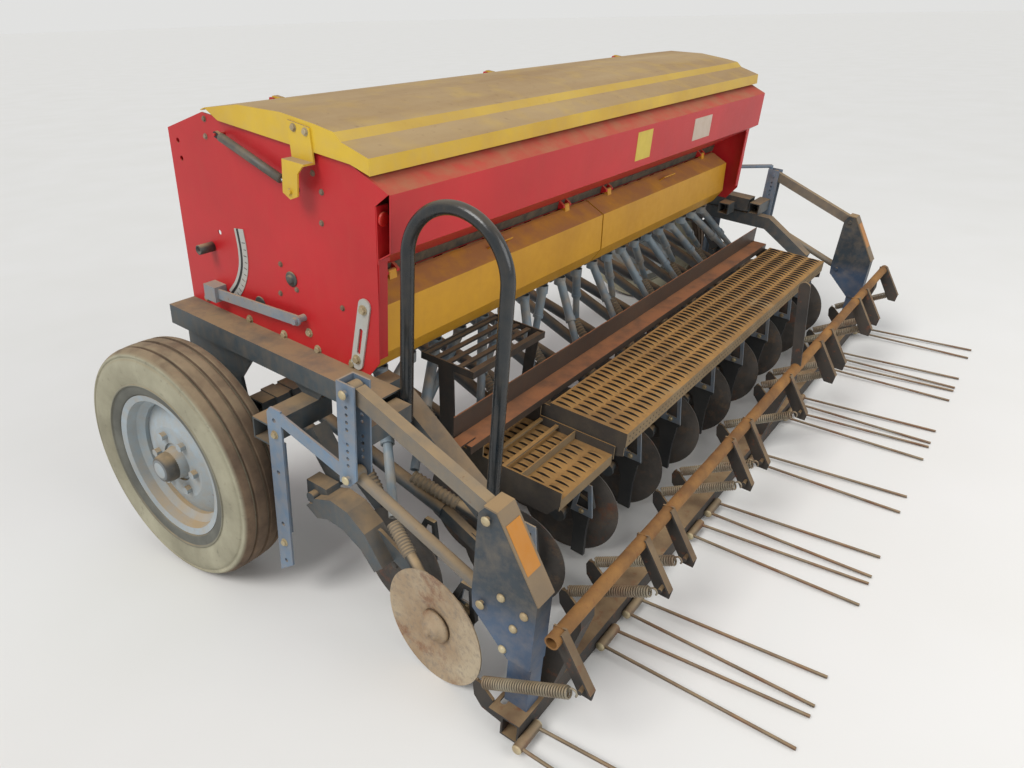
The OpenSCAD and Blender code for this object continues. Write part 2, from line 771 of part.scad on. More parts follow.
module link_eye(x0, x1, p, d, bore) {
    difference() {
        translate([x0, p.x, p.y]) rotate([0, 90, 0]) cylinder(h = x1 - x0, d = d);
        cross_hole(x0 - 1, x1 + 1, p, bore);
    }
}

module harrow_upper_links() {
    along = unit2(carry_a - link_a);
    color(earth_steel) parked()
        for (side = [-1, 1]) mirror([side < 0 ? 1 : 0, 0, 0]) difference() {
            union() {
                square_tube_yz(link_x, link_a + 14 * along, carry_a - 14 * along, 30, 40, 3);
                for (p = [link_a, carry_a]) translate([link_x - 15, p.x, p.y]) rotate([0, 90, 0])
                    cylinder(h = 30, d = 40);
            }
            cross_hole(link_x - 16, link_x + 16, link_a, 16.6);
            cross_hole(link_x - 16, link_x + 16, carry_a, 20);
        }
}

module harrow_lower_links() {
    along = unit2(carry_b - link_b);
    color(earth_steel) parked()
        for (side = [-1, 1]) mirror([side < 0 ? 1 : 0, 0, 0]) {
            p = link_b + 14 * along;
            q = carry_b - 14 * along;
            pipe([link_x, p.x, p.y], [link_x, q.x, q.y], 30, 3);
            for (e = [link_b, carry_b]) link_eye(link_x - 17, link_x + 17, e, 38, 16.6);
        }
}

module harrow_carriage(side) {
    mirror([side < 0 ? 1 : 0, 0, 0]) {
        for (x = [1411, 1467]) along_x(x, x + 6)
            polygon([carry_a + [26, 4], carry_a + [10, 26], carry_a + [-20, 24], [-1226, 540], [-1226, 345],
                     [-1164, 345], carry_b + [26, -28], carry_b + [30, 14]]);
        difference() {
            translate([1417, -1226, 208]) cube([50, 62, 332]);
            translate([1422, -1221, 207]) cube([40, 52, 334]);
        }
        for (p = [carry_a, carry_b]) bar([1405, p.x, p.y], [1481, p.x, p.y], 16);
    }
}

module harrow_carriages() {
    color("steelblue") parked()
        for (side = [-1, 1]) harrow_carriage(side);
}

module harrow_beam() {
    color(earth_steel) parked() {
        square_tube_x(-beam_half, beam_half, beam_y, beam_z + beam_h / 2, beam_w, beam_h, 5);
        difference() {
            translate([-beam_half, -1186.5, 202]) cube([beam_len, 36.5, 6]);
            for (side = [-1, 1]) for (x = [-14, 14])
                translate([side * (beam_half - 50) + x, -1168, 200]) cylinder(h = 10, d = 17);
            for (side = [-1, 1]) translate([side * (beam_half - 50) - 14, -1176.4, 200]) cube([28, 16.8, 10]);
        }
    }
}

unit_x = [-1490, -1110, -965, -540, -395, -5, 395, 540, 965, 1110, 1490];

module harrow_tube() {
    color(earth_steel) parked() {
        pipe([-1500, tube_yz.x, tube_yz.y], [1500, tube_yz.x, tube_yz.y], tube_d, 4);
        for (x = unit_x) {
            xl = x - out_side(x) * 24.5;
            along_x(xl - 2.5, xl + 2.5) polygon([[-1266, 482], [-1266, 515], [-1296, 520], [-1382, 398], [-1378, 366],
                                                 [-1345, 366]]);
            xf = x - out_side(x) * 4;
            along_x(min(xl, xf), max(xl, xf)) polygon([[-1297, 519], [-1382, 398], [-1378, 395], [-1293, 516]]);
        }
        for (x = [-1350, 120, 1350])
            along_x(x - 30, x + 30) polygon([[-1236, 208], [-1186, 208], [-1186, 260], [-1262, 492], [-1284, 490],
                                             [-1290, 440]]);
        along_x(112, 122) {
            polygon([[-1300, 490], [-1266, 490], [-1221, 792], [-1259, 797]]);
            translate([-1240, 795]) circle(d = 38);
        }
    }
}

module harrow_springs() {
    color(black_steel) parked()
        for (x = unit_x) {
            bar([x, -1102, 240], [x, -1352, 392], 30);
            along_x(x - 4, x + 4) polygon([[-1186, 160], [-1186, 201.9], [-1149.9, 201.9], [-1149.9, 214], [-1110, 230],
                                           [-1090, 208], [-1104, 172]]);
            bar([x, -1358, 396], [x - out_side(x) * 22, -1358, 396], 14);
        }
}

module harrow_tines() {
    tip_y = -1760;
    color("darkgoldenrod") parked()
        for (x = unit_x) {
            bar([x - 42, -1249.1, 166], [x + 42, -1249.1, 166], 26);
            for (s = [-34, 34])
                bar([x + s, -1249.1, 166], [x + 1.6 * s, tip_y, ground_at(tip_y) + 7], 9);
        }
}

main_frame();
headstock();
axle_left();
axle_right();
wheel_left();
wheel_right();
tyre_left();
tyre_right();
hopper_shell();
side_plate_left();
side_plate_right();
agitator_shaft();
lid();
lid_bracket_left();
lid_bracket_right();
strut_barrel_left();
strut_barrel_right();
strut_rod_left();
strut_rod_right();
metering_row();
cover_left();
cover_right();
seed_tubes();
coulter_rail();
coulter_arms();
coulter_discs();
coulter_boots();
step_carrier_left();
step_carrier_right();
kick_plate();
tread_board();
lower_step();
upper_rack();
handrail();
peg_bracket_left();
peg_bracket_right();
rear_bar_left();
rear_bar_right();
setting_lever();
adjuster_left();
adjuster_right();
harrow_upper_links();
harrow_lower_links();
harrow_carriages();
harrow_beam();
harrow_tube();
harrow_springs();
harrow_tines();
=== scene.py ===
"""Mounted seed drill: paint, dust, wear and the small pieces over its fixed frame."""
import math

import bmesh
import bpy
import numpy as np
from mathutils import Matrix


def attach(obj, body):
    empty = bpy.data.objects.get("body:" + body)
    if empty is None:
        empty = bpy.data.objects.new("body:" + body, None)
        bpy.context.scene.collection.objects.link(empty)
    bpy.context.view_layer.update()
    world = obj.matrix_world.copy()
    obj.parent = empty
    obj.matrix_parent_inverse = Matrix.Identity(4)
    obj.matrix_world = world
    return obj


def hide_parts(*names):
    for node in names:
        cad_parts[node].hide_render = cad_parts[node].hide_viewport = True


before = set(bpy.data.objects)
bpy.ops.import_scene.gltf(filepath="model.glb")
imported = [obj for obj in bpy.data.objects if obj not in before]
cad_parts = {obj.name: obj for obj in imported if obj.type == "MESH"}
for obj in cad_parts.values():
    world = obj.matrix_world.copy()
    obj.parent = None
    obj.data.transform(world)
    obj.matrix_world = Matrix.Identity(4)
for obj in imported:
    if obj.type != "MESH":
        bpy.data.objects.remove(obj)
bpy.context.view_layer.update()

# The machine leans back on its wheels and discs. The drawings below are in level millimetres:
# x to the right, y forward from the axle line, z up from the ground under the wheels.
LEAN = math.radians(6.5)
SHIFT_Y = 616.3
AXLE_Z = 360.0


def lean(points):
    """Level millimetres to metres in the frame: turned back by the lean about the axle line, then shifted."""
    p = np.asarray(points, float)
    y, z = p[..., 1], p[..., 2] - AXLE_Z
    c, s = math.cos(LEAN), math.sin(LEAN)
    return np.stack([p[..., 0], SHIFT_Y + y * c - z * s, AXLE_Z + y * s + z * c], -1) / 1000


def lean_direction(d):
    """A direction of the level machine, turned back with it."""
    d = np.asarray(d, float)
    c, s = math.cos(LEAN), math.sin(LEAN)
    return np.stack([d[..., 0], d[..., 1] * c - d[..., 2] * s, d[..., 1] * s + d[..., 2] * c], -1)


# Camera, light and floor

def set_camera():
    """The photograph's eye point beside the rear left corner, found level, then leaned with the machine."""
    eye = lean([-2531.1, -1804.4, 1742.6])
    yaw, pitch, roll = math.radians(57.04), math.radians(-29.22), math.radians(4.65)
    ahead = np.array([math.sin(yaw) * math.cos(pitch), math.cos(yaw) * math.cos(pitch), math.sin(pitch)])
    level_right = np.array([math.cos(yaw), -math.sin(yaw), 0.0])
    up = np.cross(level_right, ahead)
    right = math.cos(roll) * level_right + math.sin(roll) * up
    up = np.cross(right, ahead)
    axes = [lean_direction(v) for v in (right, up, -ahead)]
    cam = bpy.data.objects.new("eye", bpy.data.cameras.new("eye"))
    bpy.context.scene.collection.objects.link(cam)
    place = np.eye(4)
    for k in range(3):
        place[:3, k] = axes[k]
    place[:3, 3] = eye
    cam.matrix_world = Matrix(place.tolist())
    cam.data.lens, cam.data.sensor_width = 27.57, 36
    cam.data.clip_start, cam.data.clip_end = 0.05, 200
    bpy.context.scene.camera = cam


def lamp(name, kind, at, aim, power, size):
    """A soft lamp at one point, aimed at another."""
    data = bpy.data.lights.new(name, kind)
    data.energy = power
    if kind == "SUN":
        data.angle = size
    else:
        data.shape, data.size = "DISK", size
    obj = bpy.data.objects.new(name, data)
    bpy.context.scene.collection.objects.link(obj)
    away = np.array(at, float) - np.array(aim, float)
    away /= np.linalg.norm(away)
    side = np.cross([0, 0, 1], away)
    side /= np.linalg.norm(side)
    turn = np.eye(4)
    turn[:3, 0] = side
    turn[:3, 1] = np.cross(away, side)
    turn[:3, 2] = away
    turn[:3, 3] = at
    obj.matrix_world = Matrix(turn.tolist())


def set_studio():
    """A pale floor, an even sky, a broad soft sun from the left and a weak lamp behind the drill.

    The eye, mirrors and glass see the plain background, and everything else is lit by the sky."""
    scene = bpy.context.scene
    scene.view_settings.view_transform = "Standard"
    world = bpy.data.worlds.new("studio")
    scene.world = world
    world.use_nodes = True
    nt = world.node_tree
    nt.nodes.clear()
    out = nt.nodes.new("ShaderNodeOutputWorld")
    shown = nt.nodes.new("ShaderNodeBackground")
    sky = nt.nodes.new("ShaderNodeBackground")
    mix = nt.nodes.new("ShaderNodeMixShader")
    path = nt.nodes.new("ShaderNodeLightPath")
    shown.inputs["Color"].default_value = (0.755, 0.755, 0.745, 1)
    shown.inputs["Strength"].default_value = 1.0
    sky.inputs["Color"].default_value = (0.93, 0.96, 1.0, 1)
    sky.inputs["Strength"].default_value = 0.52
    seen = path.outputs["Is Camera Ray"]
    for ray in ("Is Glossy Ray", "Is Transmission Ray"):
        either = nt.nodes.new("ShaderNodeMath")
        either.operation = "MAXIMUM"
        nt.links.new(seen, either.inputs[0])
        nt.links.new(path.outputs[ray], either.inputs[1])
        seen = either.outputs[0]
    nt.links.new(seen, mix.inputs[0])
    nt.links.new(sky.outputs[0], mix.inputs[1])
    nt.links.new(shown.outputs[0], mix.inputs[2])
    nt.links.new(mix.outputs[0], out.inputs[0])
    lamp("window_light", "SUN", (-4.0, 0.6, 5.0), (0, 0, 0.4), 1.9, 0.5)
    lamp("rear_fill", "AREA", (-1.0, -5.0, 3.0), (0, 0, 0.5), 110, 4.0)
    reach, lines = 120, 25
    across = np.linspace(-reach, reach, lines)
    gx, gy = np.meshgrid(across, across, indexing="ij")
    level = np.stack([gx, gy, np.zeros_like(gx)], -1)
    mesh_piece("floor", level, [grid_faces(lines, lines)], pale_floor(), None)


# Meshes

def mesh_piece(name, verts, faces, finish, body, smooth=True, closed=False):
    """A mesh from plain arrays, in metres, that rides with a body of the frame."""
    mesh = bpy.data.meshes.new(name)
    polygons = [face for part in faces for face in part.tolist()]
    mesh.from_pydata(np.asarray(verts, float).reshape(-1, 3).tolist(), [], polygons)
    if closed:
        b = bmesh.new()
        b.from_mesh(mesh)
        bmesh.ops.recalc_face_normals(b, faces=b.faces)
        b.to_mesh(mesh)
        b.free()
    mesh.update()
    mesh.polygons.foreach_set("use_smooth", np.full(len(mesh.polygons), smooth))
    obj = bpy.data.objects.new(name, mesh)
    bpy.context.scene.collection.objects.link(obj)
    mesh.materials.append(finish)
    if body:
        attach(obj, body)
    return obj


def grid_faces(n, m, wrap_n=False, wrap_m=False):
    """Quads of an n by m grid of points, wrapped round in either direction."""
    i = np.arange(n if wrap_n else n - 1)
    j = np.arange(m if wrap_m else m - 1)
    i, j = np.meshgrid(i, j, indexing="ij")
    a, b = i * m + j, ((i + 1) % n) * m + j
    c, d = ((i + 1) % n) * m + (j + 1) % m, i * m + (j + 1) % m
    return np.stack([a, b, c, d], -1).reshape(-1, 4)


def capped(rings):
    """Points and faces of rings round one line: quads from ring to ring, a fan to the middle of each end."""
    n, m = rings.shape[:2]
    points = np.concatenate([rings.reshape(-1, 3), rings[:1].mean(1), rings[-1:].mean(1)])
    j = np.arange(m)
    after = (j + 1) % m
    first = np.stack([after, j, np.full(m, n * m)], -1)
    last = np.stack([(n - 1) * m + j, (n - 1) * m + after, np.full(m, n * m + 1)], -1)
    return points, [grid_faces(n, m, wrap_m=True), np.concatenate([first, last])]


def joined(shapes):
    """Several shapes as one: each shape's faces count on from the points before it."""
    starts = np.cumsum([0] + [len(points) for points, _ in shapes])
    faces = [part + start for (_, parts), start in zip(shapes, starts) for part in parts]
    return np.concatenate([points for points, _ in shapes]), faces


def repeated(shape, places, axes):
    """One shape at many places: each point is place + x * across + y * over + z * out."""
    points, parts = shape
    places, axes = np.asarray(places, float), np.asarray(axes, float)
    if axes.ndim == 2:
        axes = np.broadcast_to(axes, (len(places), 3, 3))
    moved = places[:, None] + np.einsum("vi,kij->kvj", points, axes)
    step = (np.arange(len(places)) * len(points))[:, None, None]
    return moved.reshape(-1, 3), [(part[None] + step).reshape(-1, part.shape[1]) for part in parts]


def solid(name, shape, finish, body="drill", smooth=True):
    """A closed shape in level millimetres, leaned with the machine."""
    points, faces = shape
    return mesh_piece(name, lean(points), faces, finish, body, smooth, closed=True)


def unit(v):
    """Vectors brought to a length of one along their last axis."""
    return v / np.linalg.norm(v, axis=-1, keepdims=True)


def turned(profile, sides):
    """A profile of (radius, height) turned round z: x = r cos a, y = r sin a."""
    profile = np.asarray(profile, float)
    a = np.arange(sides) * 2 * np.pi / sides
    round_line = np.stack([np.cos(a), np.sin(a), np.zeros(sides)], -1)
    rings = profile[:, :1, None] * round_line[None] + profile[:, 1:, None] * np.array([0, 0, 1.0])
    return capped(rings)


def wire_rings(path, radius, u, v, sides):
    """Rings round a path: point + radius (cos a * u + sin a * v), a going once round."""
    a = np.arange(sides) * 2 * np.pi / sides
    spokes = np.cos(a)[None, :, None] * u[:, None] + np.sin(a)[None, :, None] * v[:, None]
    return capped(path[:, None] + radius * spokes)


def rod(path, radius, sides=12, ref=(1.0, 0.0, 0.0)):
    """A round bar along a path: rings of the radius across the path's own direction, with closed ends."""
    path = np.asarray(path, float)
    radius = np.broadcast_to(np.asarray(radius, float), len(path))
    ahead = unit(np.gradient(path, axis=0))
    u = unit(np.cross(ahead, np.asarray(ref, float)))
    return wire_rings(path, radius[:, None, None], u, np.cross(ahead, u), sides)


def flowing(points, n):
    """A smooth path through points: cubics whose slope at a point is half the step between its neighbours."""
    p = np.asarray(points, float)
    run = np.concatenate([[2 * p[0] - p[1]], p, [2 * p[-1] - p[-2]]])
    t = np.linspace(0, len(p) - 1, n)
    i = np.minimum(t.astype(int), len(p) - 2)
    f = (t - i)[:, None]
    a, b, c, d = run[i], run[i + 1], run[i + 2], run[i + 3]
    return b + 0.5 * f * (c - a + f * (2 * a - 5 * b + 4 * c - d + f * (3 * (b - c) + d - a)))


def pressed(outline, x0, x1):
    """A plate across x from its outline in y and z, in order: two faces and its edge."""
    o = np.asarray(outline, float)
    n = len(o)
    points = np.concatenate([np.column_stack([np.full(n, x), o]) for x in (x0, x1)])
    j = np.arange(n)
    edge = np.stack([j, (j + 1) % n, n + (j + 1) % n, n + j], -1)
    return points, [edge, j[None, ::-1], (n + j)[None]]


# The axes of a shape that is drawn round z, when its z looks out of a face: across, over, out.
FACING_LEFT = [[0, 1, 0], [0, 0, 1], [-1, 0, 0]]
FACING_RIGHT = [[0, -1, 0], [0, 0, 1], [1, 0, 0]]
FACING_UP = [[1, 0, 0], [0, 1, 0], [0, 0, 1]]
FACING_BACK = [[1, 0, 0], [0, 0, 1], [0, -1, 0]]


def hex_head(r, h):
    """A chamfered bolt head on its washer: flats at r cos 30 / cos of the angle from a flat's middle."""
    corners = 12
    a = np.arange(corners) * 2 * np.pi / corners
    flats = r * math.cos(np.pi / 6) / np.cos(a % (np.pi / 3) - np.pi / 6)
    levels = [(1.35 * r, 0.0), (1.35 * r, 0.2 * h), (flats, 0.2 * h), (flats, 0.85 * h), (0.8 * r, h)]
    ring = np.stack([np.cos(a), np.sin(a)], -1)
    rings = [np.column_stack([ring * np.broadcast_to(radius, corners)[:, None], np.full(corners, z)])
             for radius, z in levels]
    return capped(np.array(rings))


def dome_head(r, h):
    """A carriage bolt's head: radius r cos a and height h sin a, from its rim to its crown."""
    a = np.linspace(0, 1.4, 6)
    return turned(np.column_stack([r * np.cos(a), h * np.sin(a)]), 14)


# Finishes

def tone(r, g, b):
    """An 8-bit screen colour as linear light."""
    c = np.array([r, g, b]) / 255.0
    lin = np.where(c <= 0.04045, c / 12.92, ((c + 0.055) / 1.055) ** 2.4)
    return (*lin.tolist(), 1.0)


DUST = tone(176, 150, 112)
RUST = tone(112, 62, 34)


class Coat:
    """One finish, built up in layers on the piece's own coordinates."""

    def __init__(self, name):
        self.mat = bpy.data.materials.new(name)
        self.mat.use_nodes = True
        self.nt = self.mat.node_tree
        self.shader = self.nt.nodes["Principled BSDF"]
        self.place = self.add("ShaderNodeTexCoord").outputs["Object"]
        self.bumps = None

    def add(self, kind, **sets):
        """A new node with its settings."""
        node = self.nt.nodes.new(kind)
        for k, v in sets.items():
            setattr(node, k, v)
        return node

    def feed(self, value, socket):
        """Sets a constant on a socket, or links another socket to it."""
        if isinstance(value, (int, float, tuple)):
            socket.default_value = value
        else:
            self.nt.links.new(value, socket)

    def cloud(self, scale, detail, rough=0.55, stretch=(1, 1, 1)):
        """Fractal noise at a scale per metre, stretched along the axes."""
        m = self.add("ShaderNodeMapping")
        m.inputs["Scale"].default_value = stretch
        self.feed(self.place, m.inputs["Vector"])
        n = self.add("ShaderNodeTexNoise")
        n.inputs["Scale"].default_value = scale
        n.inputs["Detail"].default_value = detail
        n.inputs["Roughness"].default_value = rough
        self.feed(m.outputs[0], n.inputs["Vector"])
        return n.outputs["Fac"]

    def ramp(self, value, low, high, least=0.0, most=1.0):
        """Least to most, in a straight line, as a value goes from low to high."""
        r = self.add("ShaderNodeValToRGB")
        for stop, at, level in zip(r.color_ramp.elements, (low, high), (least, most)):
            stop.position = at
            stop.color = (level, level, level, 1)
        self.feed(value, r.inputs[0])
        return r.outputs[0]

    def patches(self, scale, detail, low, high, least=0.0, most=1.0, rough=0.55, stretch=(1, 1, 1)):
        """Clouded areas: least where the noise is below low, most where it is above high."""
        return self.ramp(self.cloud(scale, detail, rough, stretch), low, high, least, most)

    def soft_step(self, value, low, high):
        """0 to 1 with rounded ends as a value goes from low to high."""
        r = self.add("ShaderNodeMapRange", interpolation_type="SMOOTHSTEP")
        r.inputs["From Min"].default_value = low
        r.inputs["From Max"].default_value = high
        self.feed(value, r.inputs["Value"])
        return r.outputs[0]

    def blend(self, factor, a, b):
        """Mixes two colours or colour sockets by a factor socket."""
        m = self.add("ShaderNodeMix", data_type="RGBA")
        self.feed(factor, m.inputs[0])
        self.feed(a, m.inputs[6])
        self.feed(b, m.inputs[7])
        return m.outputs[2]

    def combine(self, op, a, b):
        """One sum of two levels, kept between 0 and 1."""
        m = self.add("ShaderNodeMath", operation=op, use_clamp=True)
        self.feed(a, m.inputs[0])
        self.feed(b, m.inputs[1])
        return m.outputs[0]

    def times(self, a, b):
        """The product of two levels."""
        return self.combine("MULTIPLY", a, b)

    def facing(self, axis):
        """How far a face looks along an axis, from -1 to 1."""
        s = self.add("ShaderNodeSeparateXYZ")
        self.feed(self.add("ShaderNodeNewGeometry").outputs["Normal"], s.inputs[0])
        return s.outputs[axis]

    def upward(self, low, high):
        """0 on walls and undersides, 1 on level tops, where dust can lie."""
        return self.soft_step(self.facing("Z"), low, high)

    def sideways(self, axis, low=0.75, high=0.95):
        """1 on faces that look to either end of an axis, 0 on the others."""
        size = self.add("ShaderNodeMath", operation="ABSOLUTE")
        self.feed(self.facing(axis), size.inputs[0])
        return self.soft_step(size.outputs[0], low, high)

    def near_bar(self, y, z, radius):
        """1 within a radius of a level bar along x, 0 away from it: the distance is taken across the bar."""
        _, bar_y, bar_z = lean([0.0, y, z]).tolist()
        m = self.add("ShaderNodeMapping")
        m.inputs["Scale"].default_value = (0, 1, 1)
        m.inputs["Location"].default_value = (0, -bar_y, -bar_z)
        self.feed(self.place, m.inputs["Vector"])
        size = self.add("ShaderNodeVectorMath", operation="LENGTH")
        self.feed(m.outputs[0], size.inputs[0])
        edge = radius / 1000
        return self.soft_step(size.outputs["Value"], edge + 0.002, edge)

    def along(self, axis, low, high):
        """0 to 1 as one object coordinate goes from low to high."""
        s = self.add("ShaderNodeSeparateXYZ")
        self.feed(self.place, s.inputs[0])
        return self.soft_step(s.outputs[axis], low, high)

    def relief(self, height, depth):
        """Adds a height to the surface's bump, depth in metres."""
        b = self.add("ShaderNodeBump")
        b.inputs["Strength"].default_value = 1.0
        b.inputs["Distance"].default_value = depth
        self.feed(height, b.inputs["Height"])
        if self.bumps is not None:
            self.feed(self.bumps, b.inputs["Normal"])
        self.bumps = b.outputs[0]

    def done(self, colour, rough, metal=0.0):
        """Feeds the layers to the shader and returns the finish."""
        self.feed(colour, self.shader.inputs["Base Color"])
        self.feed(rough, self.shader.inputs["Roughness"])
        self.feed(metal, self.shader.inputs["Metallic"])
        if self.bumps is not None:
            self.feed(self.bumps, self.shader.inputs["Normal"])
        return self.mat


def painted_steel(name, colour, shade, dust=0.7, dust_tone=DUST, rust=0.35, gloss=0.42, film=0.16,
                  streak=0.1):
    """Farm paint: uneven colour, dust on its tops, a film on its walls, faint runs, rust in small breaks."""
    c = Coat(name)
    base = c.blend(c.patches(2.6, 5, 0.34, 0.68), colour, shade)
    runs = c.times(c.patches(26, 6, 0.5, 0.74, stretch=(1.6, 1.6, 0.3)), streak)
    base = c.blend(runs, base, dust_tone)
    veil = c.times(c.patches(30, 8, 0.35, 0.72, least=0.1, rough=0.65), film)
    base = c.blend(veil, base, dust_tone)
    lying = c.patches(11, 8, 0.30, 0.58, least=0.35, rough=0.6)
    tops = c.times(c.times(c.upward(0.35, 0.92), lying), dust)
    base = c.blend(tops, base, dust_tone)
    chips = c.times(c.patches(46, 6, 0.645, 0.69, rough=0.7), c.patches(4.2, 3, 0.46, 0.62))
    chips = c.times(chips, rust)
    base = c.blend(chips, base, RUST)
    c.relief(c.cloud(320, 3), 0.00025)
    c.relief(tops, 0.0006)
    c.relief(chips, 0.0004)
    return c.done(base, c.ramp(c.combine("ADD", tops, veil), 0.0, 0.5, gloss, 0.86))


def bare_steel(name, bright, dull, rust_level=0.5, gloss=0.38, metal=0.75, dust=0.5):
    """Steel that has lost its paint: bright where it is rubbed, brown in clouds, dusty on top."""
    c = Coat(name)
    base = c.blend(c.patches(14, 7, 0.36, 0.66), bright, dull)
    brown = c.times(c.patches(8, 8, 0.44, 0.60, rough=0.68), rust_level)
    base = c.blend(brown, base, RUST)
    tops = c.times(c.times(c.upward(0.3, 0.9), c.patches(18, 6, 0.3, 0.62, least=0.3)), dust)
    base = c.blend(tops, base, DUST)
    cover = c.combine("MAXIMUM", brown, tops)
    c.relief(c.cloud(260, 4), 0.0003)
    c.relief(brown, 0.0003)
    return c.done(base, c.ramp(cover, 0.0, 0.6, gloss, 0.85), c.ramp(cover, 0.0, 0.6, metal, 0.08))


def tread_sheet():
    """Step sheet: ochre dust on its face, earth on its rear flange, rubbed patches, bare dark end plates."""
    c = Coat("step_ochre")
    base = c.blend(c.patches(6, 8, 0.34, 0.66, rough=0.6), tone(164, 124, 68), tone(134, 102, 60))
    base = c.blend(c.times(c.patches(40, 8, 0.5, 0.7, rough=0.7), 0.45), base, tone(104, 82, 56))
    base = c.blend(c.patches(3.4, 7, 0.6, 0.72, most=0.5), base, tone(168, 146, 108))
    flange = c.blend(c.patches(9, 7, 0.36, 0.7), tone(134, 118, 92), tone(112, 98, 76))
    base = c.blend(c.times(c.sideways("Y"), 0.85), base, flange)
    dark = c.blend(c.patches(14, 7, 0.4, 0.75), tone(38, 44, 48), tone(66, 64, 58))
    base = c.blend(c.times(c.sideways("X"), 0.9), base, dark)
    c.relief(c.cloud(160, 8, rough=0.7), 0.0006)
    return c.done(base, 0.84)


def disc_steel():
    """Coulter discs: the outermost two pale with dried earth, the others dark as painted shade, all with
    rusty areas.
    """
    c = Coat("worn_disc")
    pale = c.blend(c.patches(6, 8, 0.36, 0.64, rough=0.6), tone(176, 160, 134), tone(150, 126, 98))
    pale = c.blend(c.times(c.patches(60, 8, 0.48, 0.62, rough=0.75), 0.5), pale, tone(112, 104, 96))
    # The inner discs' dark tone is painted shade from the step above them; its rusty spots are real.
    dark = c.blend(c.patches(7, 8, 0.36, 0.64, rough=0.6), tone(88, 82, 76), tone(60, 56, 52))
    dark = c.blend(c.times(c.patches(22, 8, 0.52, 0.68, rough=0.7), 0.6), dark, tone(110, 88, 66))
    # Along x, the inner discs take the painted shade and the two outermost stay pale.
    base = c.blend(c.along("X", -1.41, -1.39), pale, dark)
    base = c.blend(c.along("X", 1.39, 1.41), base, pale)
    base = c.blend(c.times(c.patches(9, 7, 0.56, 0.66, rough=0.7), 0.6), base, RUST)
    c.relief(c.cloud(190, 8, rough=0.7), 0.0008)
    return c.done(base, 0.72)


def harrow_steel():
    """Harrow: a rusty ochre round tube, dark flat levers and brackets with dust on their upper faces."""
    c = Coat("harrow_brown")
    tube = c.blend(c.patches(7, 8, 0.34, 0.62, rough=0.62), tone(152, 108, 54), tone(110, 76, 40))
    dark = c.blend(c.patches(8, 6, 0.36, 0.7), tone(44, 42, 40), tone(66, 58, 50))
    dusty = c.blend(c.patches(12, 8, 0.34, 0.66), tone(140, 116, 84), tone(106, 84, 60))
    flat = c.blend(c.upward(0.1, 0.7), dark, dusty)
    base = c.blend(c.near_bar(y=-1283, z=500, radius=18), flat, tube)
    base = c.blend(c.times(c.patches(38, 7, 0.56, 0.68, rough=0.7), 0.6), base, RUST)
    c.relief(c.cloud(120, 8, rough=0.68), 0.0007)
    return c.done(base, 0.8)


def carriage_paint():
    """Harrow carriage: dark slate arms over a bluer column, both dulled by dust."""
    c = Coat("carriage_slate")
    dark = c.blend(c.patches(5, 5, 0.36, 0.68), tone(50, 60, 68), tone(38, 46, 52))
    blue = c.blend(c.patches(5, 5, 0.36, 0.68), tone(70, 90, 114), tone(54, 70, 92))
    base = c.blend(c.along("Z", 0.30, 0.40), blue, dark)
    base = c.blend(c.times(c.patches(24, 8, 0.42, 0.74, rough=0.66), 0.2), base, DUST)
    base = c.blend(c.times(c.upward(0.3, 0.9), 0.85), base, tone(150, 126, 92))
    c.relief(c.cloud(300, 3), 0.0003)
    return c.done(base, 0.5)


def pale_floor():
    """The plain pale floor of the studio, with the least grain."""
    c = Coat("pale_floor")
    return c.done(c.blend(c.patches(1.5, 2, 0.3, 0.7), tone(226, 224, 219), tone(229, 227, 223)), 0.9)


def lid_paint():
    """Lid: yellow at the folds and ends, its top turned straw-brown by settled dust with faint run marks."""
    c = Coat("lid_yellow")
    yellow = c.blend(c.patches(3, 5, 0.35, 0.7), tone(214, 178, 46), tone(192, 152, 36))
    settled = c.patches(2.2, 6, 0.32, 0.7, stretch=(0.5, 2.5, 1))
    veil = c.blend(settled, tone(172, 146, 106), tone(146, 116, 76))
    spots = c.patches(34, 7, 0.6, 0.7, most=0.55, rough=0.7)
    veil = c.blend(spots, veil, tone(112, 84, 52))
    tops = c.times(c.upward(0.55, 0.93), c.patches(9, 7, 0.25, 0.5, least=0.72))
    base = c.blend(tops, yellow, veil)
    film = c.times(c.patches(26, 7, 0.4, 0.75, least=0.1, most=0.6), 0.4)
    base = c.blend(film, base, DUST)
    c.relief(c.cloud(240, 4), 0.0003)
    c.relief(c.cloud(1.4, 2), 0.004)
    return c.done(base, c.ramp(tops, 0.0, 0.6, 0.4, 0.85))


def tyre_rubber():
    """Tyre rubber under pale dust: grey by the bead, chalky on the wall, red-brown earth on the tread."""
    c = Coat("tyre_rubber")
    rise = c.add("ShaderNodeAttribute", attribute_name="rise").outputs["Fac"]
    wall = c.blend(c.patches(5, 7, 0.34, 0.66), tone(168, 163, 140), tone(134, 129, 109))
    bead = c.blend(c.patches(9, 7, 0.34, 0.66), tone(106, 106, 98), tone(84, 84, 78))
    base = c.blend(c.ramp(rise, 0.28, 0.36), bead, wall)
    tread = c.blend(c.patches(13, 8, 0.36, 0.64, rough=0.65), tone(112, 92, 72), tone(84, 68, 54))
    base = c.blend(c.ramp(rise, 0.905, 0.945), base, tread)
    base = c.blend(c.patches(44, 8, 0.58, 0.7, most=0.5, rough=0.72), base, tone(84, 78, 68))
    tops = c.times(c.upward(0.3, 0.9), c.patches(16, 7, 0.3, 0.6, least=0.2, most=0.8))
    base = c.blend(tops, base, tone(150, 134, 106))
    c.relief(c.cloud(150, 8, rough=0.7), 0.0009)
    return c.done(base, 0.93)


def tube_plastic():
    """Blue-grey moulded tube, powdery, with a faint sheen left."""
    c = Coat("tube_plastic")
    base = c.blend(c.patches(6, 5, 0.35, 0.68), tone(128, 142, 150), tone(98, 110, 118))
    base = c.blend(c.times(c.patches(18, 7, 0.42, 0.75, most=0.8), 0.7), base, DUST)
    c.relief(c.cloud(300, 3), 0.0002)
    return c.done(base, 0.52)


